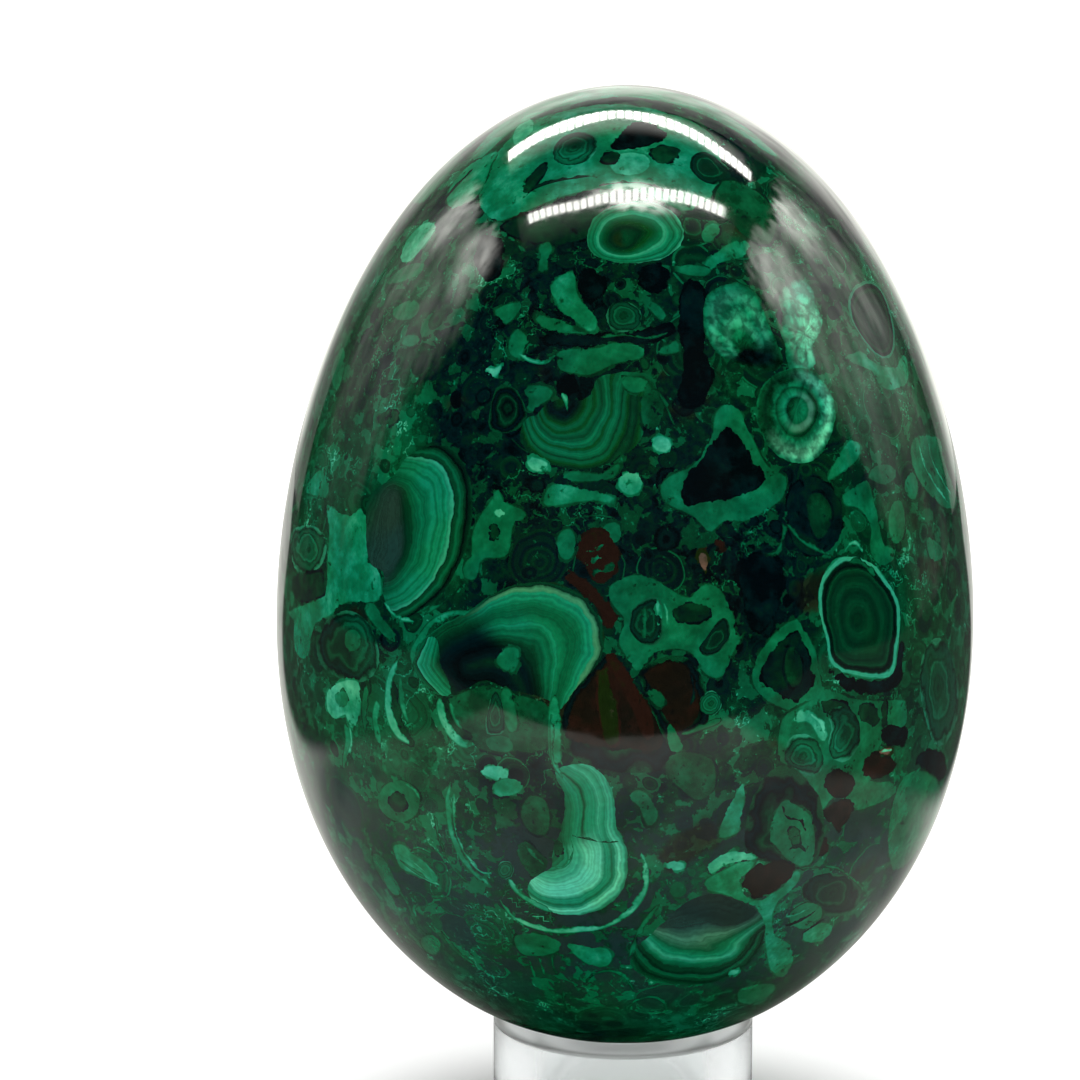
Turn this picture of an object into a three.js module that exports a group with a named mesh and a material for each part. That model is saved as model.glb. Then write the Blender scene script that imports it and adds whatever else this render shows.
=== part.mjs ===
// A polished stone egg standing upright on a clear acrylic ring.
// Millimetres, +Z up. The origin is the middle of the ring's underside, on the surface it stands on.

import * as THREE from 'three';

// The egg: a solid of revolution, narrow end up.
const EGG_HEIGHT = 70; // of the full outline, before its blunt end was ground a little flatter
const EGG_GIRTH_DIAMETER = 50.2;
const EGG_GIRTH_DROP = 3.8; // how far the widest place lies below the middle of the height
const BLUNT_END_FLATTENING = 0.68;
const FLATTENED_RADIUS = 13; // how far from the axis the flatter end reaches

// The ring: a slice of clear tube, with its edges broken and a bevelled seat inside the top.
const RING_OUTER_DIAMETER = 19.05;
const RING_WALL = 3.175;
const RING_HEIGHT = 6.35;
const EDGE_BEVEL = 0.2;
const SEAT_BEVEL = 0.2;

// The egg rests on the upper edge of the seat bevel by its own weight.
const SEAT_CLEARANCE = 0.1;

// Both pieces are turned in the same steps, so that the faceted seat lies all round the faceted egg.
const TURN_STEPS = 72;
const EGG_RINGS = 44;

const ringOuterRadius = RING_OUTER_DIAMETER / 2;
const boreRadius = ringOuterRadius - RING_WALL;
const seatRadius = boreRadius + SEAT_BEVEL;

// The egg's outline at a turn from 0, the blunt end, to PI, the narrow end.
// The half height grows smoothly from the blunt end to the narrow one, by twice the girth's drop.
// The flattening is full on the axis of the blunt end and fades out smoothly at its own radius.
function eggOutline(turn) {
  const along = -Math.cos(turn);
  const halfHeight = EGG_HEIGHT / 2 + EGG_GIRTH_DROP * Math.sin((along * Math.PI) / 2);
  const radius = (EGG_GIRTH_DIAMETER / 2) * Math.sin(turn);
  const share = along < 0 ? Math.max(0, 1 - (radius / FLATTENED_RADIUS) ** 2) : 0;
  return {
    radius,
    height: EGG_HEIGHT / 2 - EGG_GIRTH_DROP + halfHeight * along + BLUNT_END_FLATTENING * share ** 2,
  };
}

// How far the egg's blunt end dips below a level circle of the given radius that it sits in.
function dipBelowCircle(radius) {
  return eggOutline(Math.asin(radius / (EGG_GIRTH_DIAMETER / 2))).height;
}

// A closed outline turned about the vertical axis.
function turned(outline) {
  const points = outline.map(([radius, height]) => new THREE.Vector2(radius, height));
  const geometry = new THREE.LatheGeometry(points, TURN_STEPS);
  geometry.rotateX(Math.PI / 2);
  return geometry;
}

function stoneEgg() {
  const outline = [];
  for (let i = 0; i <= EGG_RINGS; i++) {
    const { radius, height } = eggOutline((Math.PI * i) / EGG_RINGS);
    const onAxis = i === 0 || i === EGG_RINGS;
    outline.push([onAxis ? 0 : radius, height]);
  }
  const malachite = new THREE.MeshStandardMaterial({ color: 0x0b4a30, roughness: 0.08, metalness: 0 });
  const egg = new THREE.Mesh(turned(outline), malachite);
  egg.name = 'stone_egg';
  egg.position.z = RING_HEIGHT + SEAT_CLEARANCE - dipBelowCircle(seatRadius);
  return egg;
}

function acrylicRing() {
  const top = RING_HEIGHT;
  const outline = [
    [boreRadius, EDGE_BEVEL],
    [boreRadius + EDGE_BEVEL, 0],
    [ringOuterRadius - EDGE_BEVEL, 0],
    [ringOuterRadius, EDGE_BEVEL],
    [ringOuterRadius, top - EDGE_BEVEL],
    [ringOuterRadius - EDGE_BEVEL, top],
    [seatRadius, top],
    [boreRadius, top - SEAT_BEVEL],
    [boreRadius, EDGE_BEVEL],
  ];
  const clearAcrylic = new THREE.MeshStandardMaterial({ color: 0xf2f5f4, roughness: 0.05, metalness: 0 });
  clearAcrylic.transparent = true;
  clearAcrylic.opacity = 0.35;
  const ring = new THREE.Mesh(turned(outline), clearAcrylic);
  ring.name = 'acrylic_ring';
  return ring;
}

const eggOnStand = new THREE.Group();
eggOnStand.add(acrylicRing(), stoneEgg());

export default eggOnStand;
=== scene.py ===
# %% [markdown]
# # A malachite egg on a clear acrylic ring
#
# A polished stone egg stands narrow end up in the bore of a low slice of clear tube.
# The frame gives both pieces at their real size. Here they get their finish: a finely turned
# egg of banded green stone, and a ring with rounded, polished edges.

# %% Load the frame
import math

import bmesh
import bpy
import numpy as np
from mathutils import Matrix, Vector


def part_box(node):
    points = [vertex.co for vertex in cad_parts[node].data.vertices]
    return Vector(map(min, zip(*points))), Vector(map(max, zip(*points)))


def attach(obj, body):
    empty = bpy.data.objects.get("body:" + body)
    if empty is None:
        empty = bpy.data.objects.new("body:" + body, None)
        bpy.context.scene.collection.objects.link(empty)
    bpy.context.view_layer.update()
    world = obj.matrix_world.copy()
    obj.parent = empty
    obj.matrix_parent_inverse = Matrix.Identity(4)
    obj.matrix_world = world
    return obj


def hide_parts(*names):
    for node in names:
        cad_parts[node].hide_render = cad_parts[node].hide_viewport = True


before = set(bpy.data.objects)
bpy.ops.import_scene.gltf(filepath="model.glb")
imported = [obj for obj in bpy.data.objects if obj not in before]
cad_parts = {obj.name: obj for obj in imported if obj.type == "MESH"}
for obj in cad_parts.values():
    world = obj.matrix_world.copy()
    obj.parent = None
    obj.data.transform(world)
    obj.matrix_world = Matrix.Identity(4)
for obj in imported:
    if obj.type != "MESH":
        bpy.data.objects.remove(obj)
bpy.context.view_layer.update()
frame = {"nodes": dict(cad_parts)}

print("frame pieces:", ", ".join(frame["nodes"]))

# %% [markdown]
# Every size below is in metres. The driving sizes are read from the frame, so that the dressed
# pieces keep the size of the solids that they stand for.

# %% Sizes of the egg and the ring
MM = 0.001

egg_low, egg_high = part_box("stone_egg")
ring_low, ring_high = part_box("acrylic_ring")
GIRTH_RADIUS = (egg_high[0] - egg_low[0]) / 2
RING_RADIUS = (ring_high[0] - ring_low[0]) / 2
RING_HEIGHT = ring_high[2] - ring_low[2]

# The blunt end is a little flatter than the full outline of the egg, out to this radius.
FLATTENING = 0.68 * MM
FLATTENED_RADIUS = 13 * MM
EGG_BASE = egg_low[2] - FLATTENING
EGG_HEIGHT = egg_high[2] - EGG_BASE

# The widest place lies this far below the middle of the full outline's height.
GIRTH_DROP = 3.8 * MM

print(f"egg {EGG_HEIGHT / MM:.1f} mm high, {2 * GIRTH_RADIUS / MM:.1f} mm across")
print(f"ring {2 * RING_RADIUS / MM:.2f} mm across, {RING_HEIGHT / MM:.2f} mm high")

# %% [markdown]
# ## The camera
#
# The photograph was taken from a little above, with a long lens, so the egg shows no strong
# perspective. The camera looks slightly past the egg's axis, which sets the egg right of the
# middle, as the photograph frames it.

# %% Place the camera
PICTURE = 1080
SENSOR = 36 * MM
LENS = 163 * MM
CAMERA_DISTANCE = 352 * MM
CAMERA_ELEVATION = math.radians(13.11)
AIM_HEIGHT = RING_HEIGHT + 35.24 * MM
LOOK_ASIDE = 6.11 * MM
LOOK_UP = 0.58 * MM

aim = Vector((0, 0, AIM_HEIGHT))
outward = Vector((0, -math.cos(CAMERA_ELEVATION), math.sin(CAMERA_ELEVATION)))
upward = Vector((0, math.sin(CAMERA_ELEVATION), math.cos(CAMERA_ELEVATION)))
look_at = aim - LOOK_ASIDE * Vector((1, 0, 0)) + LOOK_UP * upward

camera_data = bpy.data.cameras.new("camera")
camera_data.sensor_width = SENSOR / MM
camera_data.lens = LENS / MM
camera_data.clip_start = 10 * MM
camera = bpy.data.objects.new("camera", camera_data)
camera.location = aim + CAMERA_DISTANCE * outward
camera.rotation_euler = (look_at - camera.location).to_track_quat("-Z", "Y").to_euler()
bpy.context.collection.objects.link(camera)
bpy.context.scene.camera = camera
bpy.context.scene.view_settings.view_transform = "Standard"
print("camera at", [round(value, 4) for value in camera.location])

# %% [markdown]
# ## Materials, step by step
#
# A material here is a small tree of nodes. These helpers make a node, set its inputs by name,
# and link what is passed as a socket, so that a tree reads from top to bottom.


# %% Helpers for node trees
def node(tree, kind, inputs=None, **settings):
    made = tree.nodes.new(kind)
    for name, value in settings.items():
        setattr(made, name, value)
    for name, value in (inputs or {}).items():
        plug_in(tree, made.inputs[name], value)
    return made


def plug_in(tree, socket, value):
    if isinstance(value, bpy.types.NodeSocket):
        tree.links.new(value, socket)
    else:
        socket.default_value = value


def maths(tree, operation, first, second=0.0, third=0.0):
    inputs = {0: first, 1: second, 2: third}
    return node(tree, "ShaderNodeMath", inputs, operation=operation).outputs[0]


def vector_maths(tree, operation, first, second=(0, 0, 0), output="Vector"):
    made = node(tree, "ShaderNodeVectorMath", {0: first, 1: second}, operation=operation)
    return made.outputs[output]


def scaled(tree, vector, factor):
    made = node(tree, "ShaderNodeVectorMath", {0: vector, "Scale": factor}, operation="SCALE")
    return made.outputs["Vector"]


def noise(tree, vector, scale, detail=2.0, roughness=0.5, output="Fac"):
    inputs = {"Vector": vector, "Scale": scale, "Detail": detail, "Roughness": roughness}
    return node(tree, "ShaderNodeTexNoise", inputs).outputs[output]


def steady(tree, value, low, high, out_low=0.0, out_high=1.0):
    inputs = {"Value": value, "From Min": low, "From Max": high, "To Min": out_low, "To Max": out_high}
    made = node(tree, "ShaderNodeMapRange", inputs, interpolation_type="SMOOTHSTEP")
    return made.outputs["Result"]


def mixed(tree, factor, first, second, kind="RGBA"):
    made = node(tree, "ShaderNodeMix", data_type=kind)
    first_input = {"FLOAT": 2, "VECTOR": 4, "RGBA": 6}[kind]
    plug_in(tree, made.inputs[0], factor)
    plug_in(tree, made.inputs[first_input], first)
    plug_in(tree, made.inputs[first_input + 1], second)
    return made.outputs[{"FLOAT": 0, "VECTOR": 1, "RGBA": 2}[kind]]


def ramp(tree, factor, stops):
    made = node(tree, "ShaderNodeValToRGB", {"Fac": factor})
    made.color_ramp.interpolation = "LINEAR"
    elements = made.color_ramp.elements
    elements[0].position, elements[0].color = stops[0]
    elements[1].position, elements[1].color = stops[-1]
    for position, colour in stops[1:-1]:
        elements.new(position).color = colour
    return made.outputs["Color"]


def new_material(name):
    material = bpy.data.materials.new(name)
    material.use_nodes = True
    return material, material.node_tree, material.node_tree.nodes["Principled BSDF"]


def written(red, green, blue):
    """A colour as it reads on the screen, 0 to 255, turned into the light that it stands for."""
    parts = [part / 255 for part in (red, green, blue)]
    light = [part / 12.92 if part <= 0.04045 else ((part + 0.055) / 1.055) ** 2.4 for part in parts]
    return (*light, 1.0)


# %% [markdown]
# ## The turned egg
#
# The real egg was ground and polished to a smooth solid of revolution. Here a flat grid is
# wrapped round the axis, and its two edges and its ends are merged. The outline is the frame's
# own formula: a half circle whose half height grows towards the narrow end. The columns of faces
# are set closer together on the front, where the stone's pattern is drawn most finely.

# %% Wrap the egg
EGG_COLUMNS = 372
EGG_RINGS = 264
CLOSER_IN_FRONT = 0.34
HAIR = 0.001 * MM


def egg_outline(turn):
    """Radius and height for a turn from 0, the blunt end, to half a circle, the narrow end."""
    along = -np.cos(turn)
    half_height = EGG_HEIGHT / 2 + GIRTH_DROP * np.sin(along * np.pi / 2)
    radii = GIRTH_RADIUS * np.sin(turn)
    share = np.where(along < 0, np.maximum(0, 1 - (radii / FLATTENED_RADIUS) ** 2), 0)
    heights = EGG_BASE + EGG_HEIGHT / 2 - GIRTH_DROP + half_height * along + FLATTENING * share ** 2
    return radii, heights


def finished(name, shape, sharp_from=None):
    """The finished shape as a piece of the scene. Edges bent by more than sharp_from stay crisp."""
    mesh = bpy.data.meshes.new(name)
    shape.to_mesh(mesh)
    shape.free()
    if sharp_from is not None:
        mesh.set_sharp_from_angle(angle=sharp_from)
    piece = bpy.data.objects.new(name, mesh)
    bpy.context.collection.objects.link(piece)
    return piece


def wrapped_egg(name):
    shape = bmesh.new()
    bmesh.ops.create_grid(shape, x_segments=EGG_COLUMNS, y_segments=EGG_RINGS, size=1)
    flat = np.array([vertex.co for vertex in shape.verts])
    radii, heights = egg_outline((flat[:, 1] + 1) * np.pi / 2)
    angles = flat[:, 0] * np.pi
    angles -= CLOSER_IN_FRONT * np.sin(angles)
    wrapped = np.stack([radii * np.sin(angles), -radii * np.cos(angles), heights], axis=1)
    for vertex, place in zip(shape.verts, wrapped):
        vertex.co = place
    bmesh.ops.remove_doubles(shape, verts=shape.verts, dist=HAIR)
    bmesh.ops.recalc_face_normals(shape, faces=shape.faces)
    for face in shape.faces:
        face.smooth = True
    return finished(name, shape)


egg = wrapped_egg("polished_egg")
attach(egg, "egg")
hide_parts("stone_egg")
egg_triangles = sum(len(face.vertices) - 2 for face in egg.data.polygons)
print("egg triangles:", egg_triangles)

# %% [markdown]
# ## The clear ring
#
# The stand is a slice of tube, so its section is spun about the axis. A bevel with a few
# segments rounds the edges, because a polished acrylic edge is never quite sharp.

# %% Spin the ring
RING_WALL = 3.175 * MM
EDGE_RADIUS = 0.2 * MM
RING_STEPS = 192
CRISP_FROM = math.radians(35)


def spun_ring(name):
    inner = RING_RADIUS - RING_WALL
    section = [(inner, 0), (RING_RADIUS, 0), (RING_RADIUS, RING_HEIGHT), (inner, RING_HEIGHT)]
    shape = bmesh.new()
    corners = [shape.verts.new((radius, 0, height)) for radius, height in section]
    edges = [shape.edges.new((corners[i - 1], corners[i])) for i in range(len(corners))]
    bmesh.ops.spin(
        shape, geom=corners + edges, cent=(0, 0, 0), axis=(0, 0, 1),
        angle=2 * math.pi, steps=RING_STEPS, use_merge=True,
    )
    bmesh.ops.remove_doubles(shape, verts=shape.verts, dist=HAIR)
    bmesh.ops.recalc_face_normals(shape, faces=shape.faces)
    hoops = []
    for edge in shape.edges:
        first, second = [end.co for end in edge.verts]
        level = abs(first.z - second.z) < HAIR
        if level and abs(first.xy.length - second.xy.length) < HAIR:
            hoops.append(edge)
    bmesh.ops.bevel(
        shape, geom=hoops, offset=EDGE_RADIUS, offset_type="OFFSET",
        affect="EDGES", segments=4, profile=0.5, material=-1,
    )
    for face in shape.faces:
        face.smooth = True
    return finished(name, shape, CRISP_FROM)


ring = spun_ring("clear_ring")
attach(ring, "stand")
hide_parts("acrylic_ring")
print("ring faces:", len(ring.data.polygons))

# %% Clear acrylic
ACRYLIC_IOR = 1.49
CUT_ROUGHNESS = 0.3
WALL_ROUGHNESS = 0.2


def mirror_ray(tree, path):
    """1 for a reflected ray. Rays that pass through clear material count as glossy too."""
    through = maths(tree, "SUBTRACT", 1.0, path.outputs["Is Transmission Ray"])
    return maths(tree, "MULTIPLY", path.outputs["Is Glossy Ray"], through)


def clear_acrylic():
    material, tree, shader = new_material("clear_acrylic")
    shader.inputs["IOR"].default_value = ACRYLIC_IOR
    shader.inputs["Transmission Weight"].default_value = 1.0
    place = node(tree, "ShaderNodeTexCoord").outputs["Object"]
    # The walls are as drawn, with a faint uneven haze. The two cut faces and their edges are satin,
    # and the outer part of them is darkened by a painted shade.
    haze = noise(tree, place, 900, detail=3)
    height = node(tree, "ShaderNodeSeparateXYZ", {0: place}).outputs["Z"]
    cut = steady(tree, height, RING_HEIGHT - 1.4 * EDGE_RADIUS, RING_HEIGHT - 0.5 * EDGE_RADIUS)
    cut = maths(tree, "ADD", cut, steady(tree, height, 1.4 * EDGE_RADIUS, 0.5 * EDGE_RADIUS))
    polish = steady(tree, haze, 0.3, 0.7, WALL_ROUGHNESS - 0.03, WALL_ROUGHNESS + 0.03)
    flat_place = vector_maths(tree, "MULTIPLY", place, (1, 1, 0))
    radius = vector_maths(tree, "LENGTH", flat_place, output="Value")
    # Painted shade: the outer part of the cut faces is darkened.
    painted_shade_band = maths(tree, "MULTIPLY", cut, steady(tree, radius, 8.6 * MM, 9.3 * MM))
    clear = mixed(tree, haze, written(252, 254, 254), written(247, 250, 250))
    clear = mixed(tree, painted_shade_band, clear, written(160, 162, 161))
    # What the polished stone mirrors of the ring lies in its own deep shadow.
    path = node(tree, "ShaderNodeLightPath")
    first = maths(tree, "LESS_THAN", path.outputs["Ray Depth"], 1.5)
    mirrored = maths(tree, "MULTIPLY", mirror_ray(tree, path), first)
    plug_in(tree, shader.inputs["Base Color"], mixed(tree, mirrored, clear, (0, 0, 0, 1)))
    plug_in(tree, shader.inputs["Roughness"], mixed(tree, cut, polish, CUT_ROUGHNESS, kind="FLOAT"))
    return material


ring.data.materials.append(clear_acrylic())

# %% [markdown]
# ## From the photograph to the stone
#
# The stone's nodules, patches and veins are drawn as outlines over the photograph.
# Two steps lay them on the egg: every vertex is projected into the picture, and every point of
# an outline is cast onto the egg, so that distances are measured in millimetres of stone. The
# photograph shows half of the stone. The other half takes the same drawing, turned end for end
# and round to the back.

# %% Projection and casting
camera_place = np.array(camera.location)
right_axis, up_axis, back_axis = np.array(camera.rotation_euler.to_matrix()).T
PIXELS_PER_SLOPE = PICTURE * LENS / SENSOR
EGG_MIDDLE = np.array([[0, 0, EGG_BASE + EGG_HEIGHT / 2]])

turns = np.linspace(0, np.pi, 1441)
outline_radii, outline_heights = egg_outline(turns)


def to_picture(points):
    seen = points - camera_place
    depth = -(seen @ back_axis)
    across = PICTURE / 2 + PIXELS_PER_SLOPE * (seen @ right_axis) / depth
    down = PICTURE / 2 - PIXELS_PER_SLOPE * (seen @ up_axis) / depth
    return np.stack([across, down], axis=1)


def outside(points):
    limit = np.interp(points[:, 2], outline_heights, outline_radii, left=-1, right=-1)
    return np.hypot(points[:, 0], points[:, 1]) > limit


def cast(pixels):
    """Where each pixel's line of sight meets the egg. A pixel past the rim is drawn in to it."""
    pixels = np.array(pixels, float)
    middle = to_picture(EGG_MIDDLE)[0]
    for _ in range(60):
        slopes = (pixels - PICTURE / 2) / PIXELS_PER_SLOPE
        rays = -back_axis + slopes[:, :1] * right_axis - slopes[:, 1:] * up_axis
        rays /= np.linalg.norm(rays, axis=1)[:, None]
        # A ray that meets the egg is inside it where it passes nearest to the egg's middle.
        far = (EGG_MIDDLE[0] - camera_place) @ rays.T
        missed = outside(camera_place + far[:, None] * rays)
        if not missed.any():
            break
        pixels[missed] += 0.004 * (middle - pixels[missed])
    near = far - EGG_HEIGHT
    for _ in range(40):
        half = (near + far) / 2
        clear = outside(camera_place + half[:, None] * rays)
        near = np.where(clear, half, near)
        far = np.where(clear, far, half)
    return camera_place + far[:, None] * rays


print("the aim pixel meets the egg at", np.round(cast([(625, 548)])[0] / MM, 1), "mm")

# %% [markdown]
# A vertex a little past the rim takes the drawing's mirror image, so that a nodule cut off by
# the rim closes again behind it. Further back, the vertex is carried through the egg's middle
# to its opposite place on the front. Between the two runs a wandering join, as of a healed
# crack, and every drawn shape keeps clear of it.

# %% Lay the vertices on the drawing
JOIN = -0.16
JOIN_WANDER = 0.05
# The join's distance is measured in how far the stone faces the camera. This turns it to millimetres.
MM_PER_FACING = 26

places = np.array([vertex.co for vertex in egg.data.vertices])
normals = np.array([vertex.normal for vertex in egg.data.vertices])


def facing(points, directions):
    sight = camera_place - points
    return np.sum(sight * directions, axis=1) / np.linalg.norm(sight, axis=1)


def carried_through(points):
    """The opposite place on the egg: halfway round, and as far from the other end."""
    turn = np.interp(points[:, 2], outline_heights, turns)
    radius, height = egg_outline(np.pi - turn)
    now = np.maximum(np.hypot(points[:, 0], points[:, 1]), 1e-9)
    return np.stack([-points[:, 0] * radius / now, -points[:, 1] * radius / now, height], axis=1)


def join_distance():
    angle = np.arctan2(places[:, 0], places[:, 2] - EGG_MIDDLE[0, 2])
    wander = np.sin(5 * angle + 1) + 0.7 * np.sin(11 * angle + 2) + 0.4 * np.sin(23 * angle)
    return facing(places, normals) - JOIN + JOIN_WANDER * wander


beyond = join_distance()
on_front = beyond > 0
drawn_places = np.where(on_front[:, None], places, carried_through(places))
seen_at = to_picture(drawn_places)
drawn_places = cast(seen_at) / MM
join_gap = np.abs(beyond) * MM_PER_FACING
print("vertices on the front and back:", on_front.sum(), (~on_front).sum())

# %% [markdown]
# ## Drawing tools
#
# A patch is one tone. A nodule has bands: its depth runs from 0 at the outline to 1 at its core,
# and one side may catch more colour than the other. Where a nodule is open on one side, two
# lines give its outer and its inner band instead, and the depth runs between them. A fibrous
# nodule stores the turn round its core in place of the light, so that its needles can fan out.
# A vein is a line with a width. Shapes are drawn in painter's order, later ones over earlier ones.

# %% Patches, nodules and veins
GREENS = {
    "ink": 0.0, "night": 0.12, "bottle": 0.25, "moss": 0.38,
    "leaf": 0.52, "jade": 0.64, "mint": 0.80, "pale": 1.0,
}
EARTHS = {"soot": 0.0, "bark": 0.25, "rust": 0.5, "olive": 0.75, "tan": 1.0}
FIBROUS = ("rosette", "cluster", "brush")
KINDS = (
    "ground", "patch", "earth", "rings", "arch", "fan", "crescent", "bowl", "disc", "pear", "eye",
) + FIBROUS
drawing = []
veins = []


def smooth_line(points, closed, pieces=5):
    """A curve through the points, so that a few of them are enough for a round shape."""
    points = np.array(points, float)
    if closed:
        padded = np.vstack([points[-1:], points, points[:2]])
    else:
        padded = np.vstack([2 * points[0] - points[1], points, 2 * points[-1] - points[-2]])
    before, start, end, after = padded[:-3], padded[1:-2], padded[2:-1], padded[3:]
    bend = 2 * before - 5 * start + 4 * end - after
    twist = 3 * start - before - 3 * end + after
    curve = []
    for t in np.arange(pieces) / pieces:
        curve.append(0.5 * (2 * start + (end - before) * t + bend * t ** 2 + twist * t ** 3))
    curve = np.stack(curve, axis=1).reshape(-1, 2)
    return curve if closed else np.vstack([curve, points[-1:]])


def patch(name, tone, outline, curved=False):
    light = GREENS.get(tone, EARTHS.get(tone))
    drawing.append({
        "name": name, "kind": "patch" if tone in GREENS else "earth", "core": None,
        "outline": smooth_line(outline, True, 5 if curved else 2),
        "bright": light, "dim": light, "sun": None, "outer": None, "inner": None,
    })


def nodule(name, kind, core, outline, bright=1.0, dim=None, sun=None, outer=None, inner=None):
    drawing.append({
        "name": name, "kind": kind, "core": core, "outline": smooth_line(outline, True),
        "bright": bright, "dim": bright if dim is None else dim, "sun": sun,
        "outer": None if outer is None else smooth_line(outer, False),
        "inner": None if inner is None else smooth_line(inner, False),
    })


def vein(name, tone, width, line):
    veins.append({"name": name, "tone": GREENS[tone], "width": width, "line": smooth_line(line, False)})

# %% [markdown]
# ## The narrow end
#
# The crown is a field of jade with dark eyes in it, and one large eye with a pale rim lies
# below it. Outlines are in the photograph's pixels, across and down.

# %% Draw the narrow end
patch("crown field", "jade", [
    (478, 196), (488, 168), (500, 148), (530, 122), (560, 112), (600, 104), (640, 106), (690, 120),
    (715, 138), (722, 160), (716, 190), (704, 204), (682, 212), (650, 196), (600, 190), (560, 198),
    (530, 210), (500, 222), (484, 214),
])
patch("shoulder leaf", "jade", [
    (446, 196), (456, 178), (470, 164), (484, 156), (500, 150), (492, 164), (486, 182), (478, 196),
    (462, 206), (450, 210),
])
patch("shoulder rim", "leaf", [
    (412, 196), (430, 176), (448, 160), (462, 150), (458, 162), (444, 180), (428, 198), (416, 206),
])
vein("shoulder seam", "bottle", 4, [(440, 205), (456, 186), (474, 168)])
patch("shoulder mint", "mint", [
    (402, 250), (410, 235), (425, 222), (438, 225), (425, 245), (410, 262), (400, 262),
])
patch("shoulder scrap", "leaf", [(385, 285), (392, 275), (405, 265), (425, 262), (420, 275), (400, 283)])
patch("crown shade", "bottle", [
    (500, 226), (530, 213), (580, 200), (620, 206), (600, 232), (560, 246), (520, 240),
])
nodule("crown oval", "rings", (575, 148), [
    (553, 158), (557, 142), (575, 132), (594, 135), (597, 148), (588, 160), (568, 165),
], bright=0.75, dim=0.2, sun=(0, 1))
patch("crown dark", "ink", [
    (612, 145), (622, 130), (640, 121), (662, 129), (664, 138), (650, 145), (634, 148), (618, 150),
])
patch("crown bottle", "bottle", [(650, 150), (662, 145), (682, 148), (676, 160), (662, 165), (654, 160)])
nodule("crown round", "rings", (708, 168), [
    (690, 165), (694, 155), (706, 152), (722, 162), (732, 175), (722, 184), (705, 182), (695, 175),
], bright=0.15)
patch("crown mint", "mint", [(512, 136), (520, 122), (532, 118), (534, 130), (522, 142), (514, 146)])
patch("crown edge", "jade", [
    (470, 158), (500, 124), (545, 100), (580, 90), (620, 86), (668, 91), (710, 105), (752, 132), (780, 158),
    (762, 150), (740, 134), (705, 116), (668, 103), (622, 97), (575, 104), (540, 114), (508, 134), (482, 158),
])
patch("crown notch", "bottle", [(520, 190), (530, 175), (545, 162), (548, 170), (538, 182), (528, 196)])
patch("crown pool", "mint", [(608, 160), (622, 152), (645, 154), (652, 165), (640, 175), (615, 174)])
patch("crown slip", "bottle", [(600, 158), (612, 151), (624, 154), (616, 163), (604, 163)])
vein("crown seam", "bottle", 3, [(520, 200), (535, 188), (560, 180), (590, 176)])
vein("crown seam low", "moss", 3, [(596, 186), (620, 182), (650, 184), (680, 200)])
patch("right of crown", "moss", [
    (722, 180), (745, 184), (768, 200), (778, 222), (770, 245), (748, 240), (730, 222), (712, 206),
])
patch("right scrap", "jade", [(700, 232), (712, 222), (722, 228), (715, 240), (704, 243)])
patch("right scrap low", "jade", [
    (718, 250), (735, 240), (752, 243), (744, 258), (724, 262), (706, 274), (704, 262),
])
patch("brow", "leaf", [(668, 268), (688, 264), (712, 268), (706, 277), (684, 275)])
nodule("large eye", "eye", (622, 240), [
    (588, 245), (590, 225), (604, 210), (630, 202), (655, 203), (674, 214), (684, 232), (678, 248),
    (662, 259), (635, 263), (610, 261), (596, 256),
], bright=1.0, dim=0.25, sun=(1, -0.3))

# %% [markdown]
# ## The upper middle
#
# Here the stone is almost black, with sharp leaf-green scraps caught in it: a hook, a long
# flake, and the broken bowl whose bands hang in a U below its dark core.

# %% Draw the upper middle
patch("ink column", "ink", [
    (682, 285), (700, 281), (707, 310), (704, 345), (713, 372), (708, 398), (692, 410), (678, 395),
    (684, 360), (679, 320),
])
patch("ink bar", "ink", [
    (528, 339), (560, 332), (600, 335), (640, 331), (668, 321), (674, 331), (650, 342), (600, 347),
    (556, 346),
])
patch("ink round", "ink", [
    (578, 273), (592, 268), (605, 280), (602, 297), (590, 306), (580, 296),
], curved=True)
patch("ink round right", "ink", [
    (640, 268), (656, 262), (668, 274), (664, 290), (650, 294), (640, 284),
], curved=True)
patch("ink left", "ink", [
    (478, 240), (494, 236), (504, 250), (498, 276), (484, 280), (476, 262),
], curved=True)
patch("tall chip", "leaf", [
    (537, 245), (550, 241), (553, 250), (548, 262), (549, 272), (537, 271), (540, 256),
])
patch("hook", "jade", [
    (548, 290), (556, 278), (568, 271), (576, 275), (577, 290), (584, 303), (596, 313), (597, 330),
    (588, 332), (575, 322), (560, 312), (555, 300),
])
patch("hook shade", "leaf", [
    (534, 312), (550, 317), (562, 318), (575, 327), (588, 334), (570, 334), (548, 331), (536, 322),
])
nodule("mottled nodule", "rings", (624, 316), [
    (606, 318), (611, 306), (625, 301), (638, 308), (641, 321), (631, 331), (614, 330),
], bright=0.35)
patch("chip above", "leaf", [
    (624, 295), (632, 290), (642, 296), (651, 300), (661, 306), (668, 318), (660, 321), (651, 312),
    (641, 304), (630, 301),
])
patch("long flake", "leaf", [
    (555, 352), (572, 348), (600, 347), (612, 342), (640, 344), (647, 350), (640, 360), (622, 363),
    (605, 369), (590, 376), (574, 374), (560, 371), (556, 362),
])
patch("flake tip", "leaf", [(655, 348), (668, 344), (676, 339), (681, 351), (670, 355), (660, 354)])
patch("left flake", "leaf", [(492, 314), (500, 306), (523, 301), (518, 315), (505, 326), (499, 318)])
patch("left splinter", "leaf", [
    (510, 336), (518, 327), (527, 336), (531, 345), (523, 350), (524, 360), (514, 359), (507, 350),
])
patch("left crumb", "mint", [(484, 366), (495, 368), (504, 361), (498, 377), (488, 376)])
patch("bowl lip", "leaf", [
    (520, 388), (530, 384), (548, 386), (554, 393), (548, 402), (541, 405), (534, 413), (525, 408),
    (527, 398),
])
vein("flake line", "mint", 2.5, [(518, 353), (530, 361), (545, 363), (556, 355)])
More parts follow.
